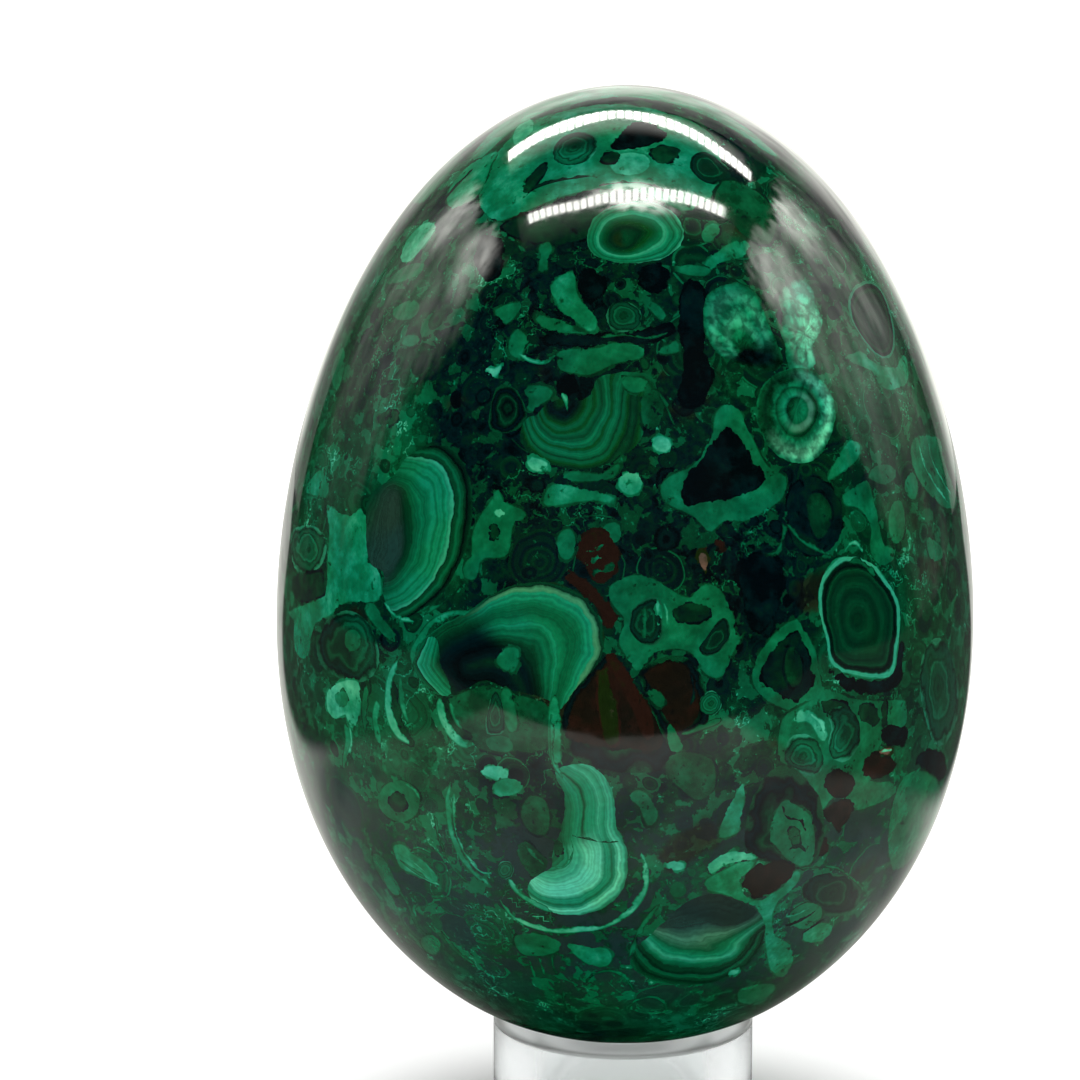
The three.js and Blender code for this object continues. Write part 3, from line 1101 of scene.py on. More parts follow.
# %% Distances on the stone
REACH = 1.0
SHAPES_APART = 0.32
VEINS_APART = 0.6
CLEAR_OF_JOIN = 0.3
PIXELS_PER_MM = 13.8
NEAR_PIXELS = 1.6 * PIXELS_PER_MM


def near_box(pixels, line):
    low, high = line.min(axis=0) - NEAR_PIXELS, line.max(axis=0) + NEAR_PIXELS
    return np.flatnonzero(np.all((pixels > low) & (pixels < high), axis=1))


def nearest_on(points, starts, ends):
    """For each point: its nearest segment, how far along it, and the distance to it."""
    spans = ends - starts
    lengths = np.maximum(np.sum(spans ** 2, axis=1), 1e-9)
    along = np.einsum("pc,sc->ps", points, spans) - np.sum(starts * spans, axis=1)
    along = np.clip(along / lengths, 0, 1)
    gaps = points[:, None] - (starts + along[..., None] * spans)
    distances = np.linalg.norm(gaps, axis=2)
    best = np.argmin(distances, axis=1)
    rows = np.arange(len(points))
    return best, along[rows, best], distances[rows, best]


def within(pixels, outline):
    """True for pixels inside the outline: a level line from them crosses it an odd number of times."""
    x, y = pixels[:, :1], pixels[:, 1:]
    start, end = outline, np.roll(outline, -1, axis=0)
    spans = (start[:, 1] > y) != (end[:, 1] > y)
    rise = np.where(end[:, 1] == start[:, 1], 1e-9, end[:, 1] - start[:, 1])
    slope = (end[:, 0] - start[:, 0]) / rise
    return np.sum(spans & (x < start[:, 0] + slope * (y - start[:, 1])), axis=1) % 2 == 1


def side_light(shape, pixels):
    if shape["sun"] is None:
        return np.full(len(pixels), shape["bright"])
    towards = pixels - np.array(shape["core"], float)
    towards /= np.maximum(np.linalg.norm(towards, axis=1), 1)[:, None]
    sun = np.array(shape["sun"], float) / np.linalg.norm(shape["sun"])
    if shape["kind"] in FIBROUS:
        turned = np.arctan2(towards @ np.array([-sun[1], sun[0]]), towards @ sun)
        return np.abs(turned) / (2 * np.pi)
    share = np.clip((towards @ sun + 0.35) / 0.9, 0, 1)
    share = share * share * (3 - 2 * share)
    return shape["dim"] + (shape["bright"] - shape["dim"]) * share


def lay_shape(shape):
    chosen = near_box(seen_at, shape["outline"])
    pixels, points = seen_at[chosen], drawn_places[chosen]
    outline = cast(shape["outline"]) / MM
    distance = nearest_on(points, outline, np.roll(outline, -1, axis=0))[2]
    edge = np.where(within(pixels, shape["outline"]), distance, -distance)
    edge = np.minimum(edge, join_gap[chosen] - CLEAR_OF_JOIN)
    depth = edge / 3
    if shape["outer"] is not None:
        outer, inner = cast(shape["outer"]) / MM, cast(shape["inner"]) / MM
        from_outer = nearest_on(points, outer[:-1], outer[1:])[2]
        from_inner = nearest_on(points, inner[:-1], inner[1:])[2]
        depth = from_outer / (from_outer + from_inner + 0.02)
    elif shape["core"] is not None:
        to_core = np.linalg.norm(points - cast([shape["core"]]) / MM, axis=1)
        depth = edge / (np.abs(edge) + to_core)
    close = edge > -REACH
    return chosen[close], np.stack([edge, depth, side_light(shape, pixels)], axis=1)[close]


def lay_vein(vein_line):
    chosen = near_box(seen_at, vein_line["line"])
    line = vein_line["line"]
    solid = cast(line) / MM
    best, along, distance = nearest_on(drawn_places[chosen], solid[:-1], solid[1:])
    heading = (line[1:] - line[:-1])[best]
    offset = seen_at[chosen] - line[best]
    turned_left = heading[:, 0] * offset[:, 1] - heading[:, 1] * offset[:, 0]
    share = (best + along) / (len(line) - 1)
    ends = np.minimum(1, 6 * np.minimum(share, 1 - share))
    past = np.where((share <= 0) | (share >= 1), distance, 0)
    half = vein_line["width"] / PIXELS_PER_MM / 2 * np.sqrt(ends) - past
    half = np.minimum(half, join_gap[chosen] - CLEAR_OF_JOIN)
    close = distance < REACH
    side = np.where(turned_left < 0, -distance, distance)
    return chosen[close], np.stack([side, half, np.full(len(half), vein_line["tone"])], axis=1)[close]


# %% Sort the shapes into layers
GOLDEN_SHARE = 0.381966


def into_layers(pieces, lay, inside, empty, apart):
    """Each piece goes on the lowest layer above every earlier piece that comes near it."""
    layers = []
    for number, piece in enumerate(pieces):
        chosen, values = lay(piece)
        held = chosen[inside(values) > -apart]
        level = 0
        for index, layer in enumerate(layers):
            if layer["taken"][held].any():
                level = index + 1
        if level == len(layers):
            layers.append({
                "taken": np.zeros(len(places), bool),
                "values": np.tile(np.array(empty, float), (len(places), 1)),
                "kind": np.zeros(len(places)),
            })
        layer = layers[level]
        closer = inside(values) > inside(layer["values"][chosen])
        layer["values"][chosen[closer]] = values[closer]
        layer["taken"][held] = True
        seed = (number * GOLDEN_SHARE) % 1
        layer["kind"][chosen[closer]] = KINDS.index(piece.get("kind", "patch")) + 0.3 * seed
    return layers


shape_layers = into_layers(drawing, lay_shape, lambda values: values[:, 0], (-1, 0, 0), SHAPES_APART)
vein_layers = into_layers(
    veins, lay_vein, lambda values: values[:, 1] - np.abs(values[:, 0]), (5, -9, 0), VEINS_APART,
)


def store(name, kind, values):
    attribute = egg.data.attributes.new(name, kind, "POINT")
    field = "vector" if kind == "FLOAT_VECTOR" else "value"
    attribute.data.foreach_set(field, np.ascontiguousarray(values, np.float32).ravel())


for index, layer in enumerate(shape_layers):
    store(f"shape_{index}", "FLOAT_VECTOR", layer["values"])
    store(f"kind_{index}", "FLOAT", layer["kind"])
for index, layer in enumerate(vein_layers):
    store(f"vein_{index}", "FLOAT_VECTOR", layer["values"])
print(len(shape_layers), "layers of shapes,", len(vein_layers), "of veins")

# %% [markdown]
# ## The stone's colours
#
# Malachite is one green from near black to mint, by how thick and how fine its fibres are.
# The greens below hold almost no red. Where the stone is stained by iron, it turns brown.

# %% Greens and earths
INK = written(2, 9, 12)
NIGHT = written(2, 24, 26)
BOTTLE = written(2, 40, 24)
MOSS = written(3, 62, 35)
LEAF = written(4, 88, 55)
JADE = written(6, 108, 70)
SEA = written(13, 129, 91)
MINT = written(43, 153, 117)
PALE = written(82, 192, 153)
CREAM = written(60, 138, 95)
DUSK = written(54, 116, 92)
SOOT = written(9, 11, 9)
BARK = written(20, 18, 11)
RUST = written(36, 20, 13)
OLIVE = written(20, 36, 8)
TAN = written(92, 76, 66)
FERN = written(4, 66, 26)
HAZE = written(27, 56, 48)
# An ashen green, laid over the darks low on the egg: partly the stone's tone, partly a painted sheen.
ASH_AND_SHEEN = written(26, 51, 48)

GREEN_SCALE = [
    (0.0, INK), (0.12, NIGHT), (0.25, BOTTLE), (0.38, MOSS), (0.52, LEAF), (0.64, JADE), (0.73, SEA),
    (0.82, MINT), (1.0, PALE),
]
EARTH_SCALE = [
    (0.0, SOOT), (0.25, BARK), (0.45, RUST), (0.6, RUST), (0.72, OLIVE), (0.88, OLIVE), (1.0, TAN),
]

# %% [markdown]
# Each kind of nodule has two rows of bands, from its outline (0) to its core (1): one for the
# dim side and one for the bright side.

# %% Bands of each kind
BANDS = {
    "rings": (
        [(0.0, MOSS), (0.05, BOTTLE), (0.1, INK), (0.2, NIGHT), (0.28, INK), (0.38, BOTTLE), (0.44, MOSS),
         (0.5, BOTTLE), (0.66, INK), (0.82, BOTTLE), (1.0, INK)],
        [(0.0, MINT), (0.05, JADE), (0.1, BOTTLE), (0.16, LEAF), (0.26, JADE), (0.34, MOSS), (0.42, SEA),
         (0.52, LEAF), (0.66, JADE), (0.78, MOSS), (0.9, LEAF), (1.0, MOSS)],
    ),
    "arch": (
        [(0.0, BOTTLE), (0.04, LEAF), (0.09, MOSS), (0.2, MOSS), (0.32, BOTTLE), (0.5, NIGHT), (0.75, INK),
         (0.9, NIGHT), (1.0, BOTTLE)],
        [(0.0, OLIVE), (0.03, MOSS), (0.06, BOTTLE), (0.085, CREAM), (0.11, CREAM), (0.13, SEA), (0.18, SEA),
         (0.24, JADE), (0.3, LEAF), (0.36, LEAF), (0.4, JADE), (0.44, JADE), (0.47, SEA), (0.5, JADE),
         (0.54, LEAF), (0.57, JADE), (0.6, LEAF), (0.66, MOSS), (0.74, BOTTLE), (0.86, NIGHT), (0.94, NIGHT),
         (1.0, BOTTLE)],
    ),
    "fan": (
        [(0.0, MOSS), (0.07, SEA), (0.15, MINT), (0.24, SEA), (0.33, MINT), (0.38, SEA), (0.5, SEA),
         (0.54, JADE), (0.57, MOSS), (0.6, JADE), (0.66, SEA), (0.75, JADE), (0.86, LEAF), (0.95, MOSS),
         (1.0, BOTTLE)],
        [(0.0, BOTTLE), (0.05, LEAF), (0.1, MINT), (0.17, PALE), (0.23, SEA), (0.26, LEAF), (0.29, SEA),
         (0.35, SEA), (0.41, PALE), (0.6, PALE), (0.7, MINT), (0.8, MINT), (0.84, LEAF), (0.87, SEA),
         (0.91, LEAF), (0.94, JADE), (1.0, MOSS)],
    ),
    "crescent": (
        [(0.0, BOTTLE), (0.1, INK), (0.25, BOTTLE), (0.4, MOSS), (0.6, BOTTLE), (0.75, HAZE), (1.0, HAZE)],
        [(0.0, MOSS), (0.04, BOTTLE), (0.08, INK), (0.12, MOSS), (0.16, LEAF), (0.21, MOSS), (0.235, BOTTLE),
         (0.25, MINT), (0.3, SEA), (0.34, JADE), (0.37, SEA), (0.42, JADE), (0.47, SEA), (0.52, JADE),
         (0.57, LEAF), (0.61, JADE), (0.66, LEAF), (0.73, MOSS), (0.8, BOTTLE), (0.87, HAZE), (1.0, HAZE)],
    ),
    "bowl": (
        [(0.0, MOSS), (0.1, BOTTLE), (0.25, INK), (0.5, NIGHT), (0.8, INK), (1.0, SOOT)],
        [(0.0, MOSS), (0.05, BOTTLE), (0.1, FERN), (0.16, LEAF), (0.2, MOSS), (0.25, LEAF), (0.3, JADE),
         (0.34, LEAF), (0.38, FERN), (0.42, LEAF), (0.46, JADE), (0.5, LEAF), (0.55, MOSS), (0.6, LEAF),
         (0.66, FERN), (0.74, LEAF), (0.8, FERN), (0.88, BOTTLE), (0.94, NIGHT), (1.0, INK)],
    ),
    "disc": (
        [(0.0, LEAF), (0.05, BOTTLE), (0.14, INK), (0.4, NIGHT), (0.7, INK), (1.0, NIGHT)],
        [(0.0, LEAF), (0.05, MOSS), (0.1, BOTTLE), (0.14, MOSS), (0.18, LEAF), (0.22, BOTTLE), (0.28, MOSS),
         (0.34, JADE), (0.38, MINT), (0.43, SEA), (0.5, LEAF), (0.6, DUSK), (0.7, HAZE), (0.85, HAZE),
         (1.0, HAZE)],
    ),
    "pear": (
        [(0.0, LEAF), (0.06, BOTTLE), (0.15, INK), (0.22, MOSS), (0.3, INK), (0.6, NIGHT), (1.0, BOTTLE)],
        [(0.0, JADE), (0.02, MINT), (0.065, MINT), (0.09, BOTTLE), (0.15, INK), (0.21, MOSS), (0.28, BOTTLE),
         (0.42, MOSS), (0.55, BOTTLE), (0.7, MOSS), (0.85, BOTTLE), (1.0, MOSS)],
    ),
    "rosette": (
        [(0.0, LEAF), (0.05, MOSS), (0.2, BOTTLE), (0.3, MOSS), (0.36, LEAF), (0.42, JADE), (0.47, MOSS),
         (0.55, JADE), (0.65, SEA), (0.73, BOTTLE), (0.8, MOSS), (0.92, LEAF), (1.0, LEAF)],
        [(0.0, JADE), (0.06, MINT), (0.12, PALE), (0.22, PALE), (0.3, MINT), (0.38, SEA), (0.44, LEAF),
         (0.49, BOTTLE), (0.53, MOSS), (0.6, DUSK), (0.67, DUSK), (0.72, LEAF), (0.82, JADE), (1.0, LEAF)],
    ),
    "cluster": (
        [(0.0, LEAF), (0.15, SEA), (0.5, MINT), (1.0, MINT)],
        [(0.0, LEAF), (0.06, MINT), (0.2, PALE), (1.0, PALE)],
    ),
    "brush": (
        [(0.0, MOSS), (0.1, BOTTLE), (0.3, NIGHT), (0.6, INK), (1.0, INK)],
        [(0.0, LEAF), (0.06, SEA), (0.2, MINT), (0.35, SEA), (0.5, MINT), (0.62, JADE), (0.75, MOSS),
         (0.85, BOTTLE), (1.0, INK)],
    ),
    "eye": (
        [(0.0, LEAF), (0.08, JADE), (0.16, LEAF), (0.25, SEA), (0.3, MINT), (0.36, LEAF), (0.5, MOSS),
         (0.65, BOTTLE), (0.8, OLIVE), (1.0, BOTTLE)],
        [(0.0, MINT), (0.05, LEAF), (0.12, SEA), (0.17, LEAF), (0.25, SEA), (0.3, MINT), (0.35, JADE),
         (0.42, LEAF), (0.5, FERN), (0.62, BOTTLE), (0.8, MOSS), (1.0, BOTTLE)],
    ),
}

# %% [markdown]
# Between the drawn shapes lies the ground of the stone: round dark nodules pressed together,
# with faint rings and thin paler skins, and leaf-green filling in the gaps. It is built from
# cells and noise in the egg's own space, so it runs on unbroken round the back.


# %% The ground between the shapes
def centred(tree, value, reach):
    """Noise that lies round 0.5, stretched to run from -reach to reach."""
    return steady(tree, value, 0.3, 0.7, -reach, reach)


def lined(tree, count, detail):
    """Noise along one number, for rings and hair lines."""
    inputs = {"W": count, "Scale": 1.0, "Detail": detail}
    return node(tree, "ShaderNodeTexNoise", inputs, noise_dimensions="1D").outputs["Fac"]


def round_nodules(tree, place, size, skin_tone, tone):
    """Round cells of about this size, laid over the tone. Each has its own radius and shade."""
    cells = node(tree, "ShaderNodeTexVoronoi", {"Vector": place, "Scale": 1 / size})
    own = node(tree, "ShaderNodeSeparateColor", {"Color": cells.outputs["Color"]})
    reach = maths(tree, "MULTIPLY_ADD", own.outputs["Red"], 0.34 * size, 0.2 * size)
    inside = maths(tree, "SUBTRACT", reach, maths(tree, "MULTIPLY", cells.outputs["Distance"], size))
    count = maths(tree, "MULTIPLY_ADD", inside, 2.6, maths(tree, "MULTIPLY", own.outputs["Red"], 90))
    rings = lined(tree, count, 2.0)
    shade = maths(tree, "MULTIPLY_ADD", own.outputs["Green"], 0.26, 0.02)
    shade = maths(tree, "ADD", shade, centred(tree, rings, 0.08))
    skin = maths(tree, "SUBTRACT", steady(tree, inside, 0.02, 0.06), steady(tree, inside, 0.1, 0.18))
    paler = steady(tree, own.outputs["Blue"], 0.4, 0.9, 0.0, skin_tone)
    shade = maths(tree, "MULTIPLY_ADD", skin, paler, shade)
    return mixed(tree, steady(tree, inside, -0.02, 0.03), tone, shade, kind="FLOAT")


def ground_colour(tree, place, swirl):
    mottle = noise(tree, place, 1 / 0.8, detail=5, roughness=0.65)
    bent = vector_maths(tree, "ADD", place, scaled(tree, swirl, 2.2))
    gaps = noise(tree, bent, 1 / 1.5, detail=4, roughness=0.6)
    tone = maths(tree, "ADD", 0.19, centred(tree, mottle, 0.13))
    filling = steady(tree, gaps, 0.53, 0.56)
    tone = mixed(tree, filling, tone, maths(tree, "MULTIPLY_ADD", mottle, 0.3, 0.3), kind="FLOAT")
    bent = vector_maths(tree, "ADD", place, scaled(tree, swirl, 1.1))
    tone = round_nodules(tree, bent, 4.6, 0.3, tone)
    tone = round_nodules(tree, vector_maths(tree, "ADD", bent, (9, 4, 2)), 1.7, 0.1, tone)
    dark = steady(tree, tone, 0.3, 0.12)
    # Up through the middle of the stone, above its girth, the ground stays dark. Towards the left and right
    # and low down it is lighter and flatter: partly the stone's own tone, partly a painted sheen of the
    # polish.
    parts = node(tree, "ShaderNodeSeparateXYZ", {0: place})
    cloud = noise(tree, place, 1 / 9, detail=2)
    away = maths(tree, "ADD", maths(tree, "ABSOLUTE", parts.outputs["X"]), centred(tree, cloud, 4))
    away = maths(tree, "ADD", away, steady(tree, parts.outputs["Z"], 32, 20, 0, 14))
    tone = maths(tree, "ADD", tone, steady(tree, away, 6, 17, -0.03, 0.1))
    tone = mixed(tree, steady(tree, away, 8, 20, 0, 0.35), tone, 0.47, kind="FLOAT")
    tone = maths(tree, "ADD", tone, centred(tree, cloud, 0.08))
    crumbs = noise(tree, bent, 1 / 0.45, detail=3, roughness=0.7)
    tone = maths(tree, "ADD", tone, steady(tree, crumbs, 0.62, 0.7, 0, 0.3))
    # Here and there, fine pale lines run through it like lace.
    thread = noise(tree, vector_maths(tree, "ADD", bent, (2, 70, 1)), 1 / 2.4, detail=4, roughness=0.6)
    thread = steady(tree, maths(tree, "ABSOLUTE", maths(tree, "SUBTRACT", thread, 0.5)), 0.012, 0.004)
    lace = steady(tree, noise(tree, vector_maths(tree, "ADD", place, (50, 1, 8)), 1 / 6, detail=2), 0.5, 0.62)
    tone = maths(tree, "MULTIPLY_ADD", maths(tree, "MULTIPLY", thread, lace), 0.33, tone)
    green = ramp(tree, tone, GREEN_SCALE)
    stain = noise(tree, vector_maths(tree, "ADD", place, (31, 7, 3)), 1 / 7, detail=4)
    earth = ramp(tree, maths(tree, "MULTIPLY_ADD", tone, 0.9, 0.05), EARTH_SCALE)
    stained = steady(tree, stain, 0.62, 0.7, 0, 0.7)
    height = parts.outputs["Z"]
    # Low on the egg the darks turn ashen: partly the stone's tone, partly a painted sheen.
    low = maths(tree, "MULTIPLY", steady(tree, height, 33, 24, 0, 0.8), steady(tree, height, 9, 17))
    green = mixed(tree, maths(tree, "MULTIPLY", dark, low), green, ASH_AND_SHEEN)
    return mixed(tree, stained, green, earth), mottle


# %% [markdown]
# ## The malachite
#
# The material walks up through the layers. Wherever a vertex's edge distance is above nought,
# the layer's own numbers replace those from below. Only then are the bands looked up, once for
# each kind. A little noise on the distances breaks the outlines as fine grain does.

# %% Walk up the layers
def top_of_layers(tree, place):
    grain = noise(tree, place, 1 / 0.35, detail=2)
    ripple = noise(tree, place, 1 / 1.1, detail=3)
    rough_edge = maths(tree, "ADD", centred(tree, grain, 0.05), centred(tree, ripple, 0.17))
    smooth_edge = maths(tree, "MULTIPLY", rough_edge, 0.3)
    values, kind = (-1.0, 0.0, 0.0), 0.0
    for index in range(len(shape_layers)):
        shape = node(tree, "ShaderNodeAttribute", attribute_name=f"shape_{index}").outputs
        own_kind = node(tree, "ShaderNodeAttribute", attribute_name=f"kind_{index}").outputs["Fac"]
        edge = node(tree, "ShaderNodeSeparateColor", {0: shape["Color"]}).outputs[0]
        is_nodule = maths(tree, "GREATER_THAN", own_kind, 2.5)
        wobble = mixed(tree, is_nodule, rough_edge, smooth_edge, kind="FLOAT")
        mask = maths(tree, "GREATER_THAN", maths(tree, "ADD", edge, wobble), 0.0)
        values = mixed(tree, mask, values, shape["Vector"], kind="VECTOR")
        kind = mixed(tree, mask, kind, own_kind, kind="FLOAT")
    thin_edge = maths(tree, "MULTIPLY", rough_edge, 0.4)
    for index in range(len(vein_layers)):
        line = node(tree, "ShaderNodeAttribute", attribute_name=f"vein_{index}").outputs["Color"]
        off_line, half_width, tone = node(tree, "ShaderNodeSeparateColor", {0: line}).outputs
        side = maths(tree, "ABSOLUTE", maths(tree, "ADD", off_line, thin_edge))
        edge = maths(tree, "SUBTRACT", maths(tree, "ADD", half_width, thin_edge), side)
        mask = maths(tree, "GREATER_THAN", edge, 0.0)
        painted = node(tree, "ShaderNodeCombineXYZ", {"X": edge, "Y": 0.5, "Z": tone}).outputs[0]
        values = mixed(tree, mask, values, painted, kind="VECTOR")
        kind = mixed(tree, mask, kind, 1.0, kind="FLOAT")
    return values, kind


def is_kind(tree, kind, name):
    return maths(tree, "COMPARE", kind, KINDS.index(name) + 0.15, 0.3)


# %% The stone's skin
STONE_IOR = 1.65


def malachite():
    material, tree, shader = new_material("malachite")
    place = node(tree, "ShaderNodeTexCoord").outputs["Object"]
    place = node(tree, "ShaderNodeMapping", {"Vector": place, "Scale": (1 / MM,) * 3}).outputs[0]
    swirls = node(tree, "ShaderNodeSeparateColor", {"Color": noise(tree, place, 1 / 3.2, output="Color")})
    swirl = node(tree, "ShaderNodeCombineXYZ", dict(zip("XYZ", swirls.outputs))).outputs[0]
    swirl = vector_maths(tree, "SUBTRACT", swirl, (0.5, 0.5, 0.5))
    bent_place = vector_maths(tree, "ADD", place, scaled(tree, swirl, 1.1))
    values, kind = top_of_layers(tree, place)
    colour, mottle = ground_colour(tree, place, swirl)
    parts = node(tree, "ShaderNodeSeparateXYZ", {0: values})
    edge, depth, light = [parts.outputs[name] for name in "XYZ"]

    # A patch is mottled, has dark pits, and darkens at its very edge.
    pits = steady(tree, noise(tree, bent_place, 1 / 0.9, detail=4, roughness=0.65), 0.4, 0.3, 0, -0.27)
    rim = maths(tree, "ADD", steady(tree, edge, 0, 0.14, -0.2, 0.03), pits)
    clouds = noise(tree, vector_maths(tree, "ADD", place, (3, 8, 5)), 1 / 1.8, detail=3)
    flat_tone = maths(tree, "ADD", maths(tree, "ADD", light, centred(tree, mottle, 0.055)), rim)
    flat_tone = maths(tree, "ADD", flat_tone, centred(tree, clouds, 0.09))
    colour = mixed(tree, is_kind(tree, kind, "patch"), colour, ramp(tree, flat_tone, GREEN_SCALE))
    colour = mixed(tree, is_kind(tree, kind, "earth"), colour, ramp(tree, flat_tone, EARTH_SCALE))

    wave = noise(tree, place, 1 / 1.7, detail=4)
    loose = maths(tree, "MULTIPLY_ADD", is_kind(tree, kind, "rings"), 0.1, 0.022)
    bent_depth = maths(tree, "MULTIPLY_ADD", centred(tree, wave, 1.0), loose, depth)
    own = maths(tree, "MULTIPLY", kind, 61)
    count = maths(tree, "MULTIPLY_ADD", bent_depth, 34, own)
    lines = steady(tree, lined(tree, count, 3.0), 0.3, 0.7, 0.8, 1.16)
    fan_place = node(tree, "ShaderNodeCombineXYZ", {
        "X": maths(tree, "MULTIPLY", light, 26), "Y": maths(tree, "MULTIPLY", depth, 2.6), "Z": own,
    }).outputs[0]
    cells = {"Vector": bent_place, "Scale": 1 / 0.95}
    cracks = node(tree, "ShaderNodeTexVoronoi", cells, feature="DISTANCE_TO_EDGE")
    off_crack = maths(tree, "ADD", cracks.outputs["Distance"], centred(tree, mottle, 0.22))
    plates = steady(tree, off_crack, -0.1, 0.34, 0.42, 1.2)
    needles = steady(tree, noise(tree, fan_place, 1.0, detail=3), 0.32, 0.66, 0.62, 1.22)
    heart = maths(tree, "MULTIPLY", is_kind(tree, kind, "rosette"), steady(tree, depth, 0.4, 0.5))
    plates = maths(tree, "MULTIPLY", mixed(tree, heart, plates, 1.0, kind="FLOAT"), needles)
    fibrous = maths(tree, "GREATER_THAN", kind, KINDS.index(FIBROUS[0]) - 0.1)
    share = mixed(tree, fibrous, light, steady(tree, light, 0.36, 0.14), kind="FLOAT")
    for name, (dim, bright) in BANDS.items():
        bands = mixed(tree, share, ramp(tree, bent_depth, dim), ramp(tree, bent_depth, bright))
        colour = mixed(tree, is_kind(tree, kind, name), colour, bands)

    # Fine grain, and a slow drift between yellower and bluer green.
    strength = mixed(tree, fibrous, lines, plates, kind="FLOAT")
    banded = maths(tree, "GREATER_THAN", kind, 2.9)
    strength = mixed(tree, banded, 1.0, strength, kind="FLOAT")
    grain = steady(tree, noise(tree, place, 1 / 0.35, detail=3), 0.3, 0.7, 0.9, 1.1)
    strength = maths(tree, "MULTIPLY", strength, grain)
    drift = noise(tree, vector_maths(tree, "ADD", place, (5, 40, 9)), 1 / 6, detail=2)
    tint = mixed(tree, steady(tree, drift, 0.35, 0.65), (1.2, 1.02, 0.86, 1), (0.85, 0.99, 1.08, 1))
    tinted = vector_maths(tree, "MULTIPLY", colour, tint)
    plug_in(tree, shader.inputs["Base Color"], scaled(tree, tinted, strength))

    shader.inputs["IOR"].default_value = STONE_IOR
    plug_in(tree, shader.inputs["Roughness"], steady(tree, mottle, 0.2, 0.8, 0.04, 0.09))
    relief = noise(tree, place, 1 / 6, detail=2)
    bump = node(tree, "ShaderNodeBump", {"Height": relief, "Strength": 0.12, "Distance": 0.03 * MM})
    plug_in(tree, shader.inputs["Normal"], bump.outputs["Normal"])
    return material


egg.data.materials.append(malachite())
print("the egg's skin has", len(egg.data.materials[0].node_tree.nodes), "nodes")

# %% [markdown]
# ## The studio
#
# The photograph was taken in a small light tent, with a white floor, white cloth walls and two
# rows of lamps on its roof. A polished egg shows all of that in its reflections. So the floor
# and an even white sky light the scene, and the tent is there for reflections alone. The cloth
# glows where lamplight falls on it, and is dim low down on the walls and away from the lamps.
# Lengths in the tent are in millimetres.

# %% Stage tools
LAMP_WHITE = (1.0, 1.0, 0.93, 1.0)


def staged(name, shape, material):
    piece = finished(name, shape)
    piece.data.materials.append(material)
    return piece


def stage_sheet(name, corners, material):
    shape = bmesh.new()
    shape.faces.new([shape.verts.new(Vector(corner) * MM) for corner in corners])
    return staged(name, shape, material)


def only_in_reflections(piece):
    piece.visible_camera = False
    piece.visible_diffuse = False
    piece.visible_transmission = False
    piece.visible_shadow = False


def glowing(name, glow):
    """A material that gives light. Its strength at each place comes from the function glow."""
    material = bpy.data.materials.new(name)
    material.use_nodes = True
    tree = material.node_tree
    tree.nodes.clear()
    place = scaled(tree, node(tree, "ShaderNodeTexCoord").outputs["Object"], 1 / MM)
    light = node(tree, "ShaderNodeEmission", {"Strength": glow(tree, place), "Color": LAMP_WHITE})
    node(tree, "ShaderNodeOutputMaterial", {"Surface": light.outputs[0]})
    return material


def axis(tree, place, name):
    return node(tree, "ShaderNodeSeparateXYZ", {0: place}).outputs[name]


def pool(tree, place, centre, reach, strength, stretch=(1, 1, 1)):
    """A round pool of light on the cloth, softly bounded."""
    away = vector_maths(tree, "MULTIPLY", vector_maths(tree, "SUBTRACT", place, centre), stretch)
    distance = vector_maths(tree, "LENGTH", away, output="Value")
    return steady(tree, distance, reach, 0.25 * reach, 0.0, strength)


# %% The floor
FLOOR_HALF = 3000
FLOOR_LIFT = 0.45
THROUGH_RING_GLOW = 0.3


def floor_material():
    material, tree, shader = new_material("pale_floor")
    shader.inputs["Roughness"].default_value = 0.9
    shader.inputs["Specular IOR Level"].default_value = 0.1
    shader.inputs["Base Color"].default_value = written(250, 250, 249)
    shader.inputs["Emission Color"].default_value = (1, 1, 1, 1)
    # Seen directly or through the clear ring, the open floor is plain white. Round the ring's foot
    # it keeps the egg's soft shadow, except through the ring: there the floor has a painted glow,
    # shadow and all, which whitens the ring.
    path = node(tree, "ShaderNodeLightPath")
    through = path.outputs["Is Transmission Ray"]
    seen = maths(tree, "MAXIMUM", path.outputs["Is Camera Ray"], through)
    place = scaled(tree, node(tree, "ShaderNodeTexCoord").outputs["Object"], 1 / MM)
    place = vector_maths(tree, "MULTIPLY", vector_maths(tree, "ADD", place, (0, 5, 0)), (0.74, 1, 0))
    near = vector_maths(tree, "LENGTH", place, output="Value")
    lift = maths(tree, "MULTIPLY", seen, steady(tree, near, 8, 20, 0, FLOOR_LIFT))
    # Painted glow: through the ring the floor glows, even in the egg's shadow.
    lift = maths(tree, "MULTIPLY_ADD", through, THROUGH_RING_GLOW, lift)
    plug_in(tree, shader.inputs["Emission Strength"], lift)
    return material


floor = stage_sheet("floor", [
    (-FLOOR_HALF, -FLOOR_HALF, 0), (FLOOR_HALF, -FLOOR_HALF, 0),
    (FLOOR_HALF, FLOOR_HALF, 0), (-FLOOR_HALF, FLOOR_HALF, 0),
], floor_material())
floor.visible_glossy = False

# %% The tent's cloth
SIDE, ROOF, BACK, FRONT = 250, 400, 300, -330
WALL_TOP = 345
PAPER_FRONT = -118


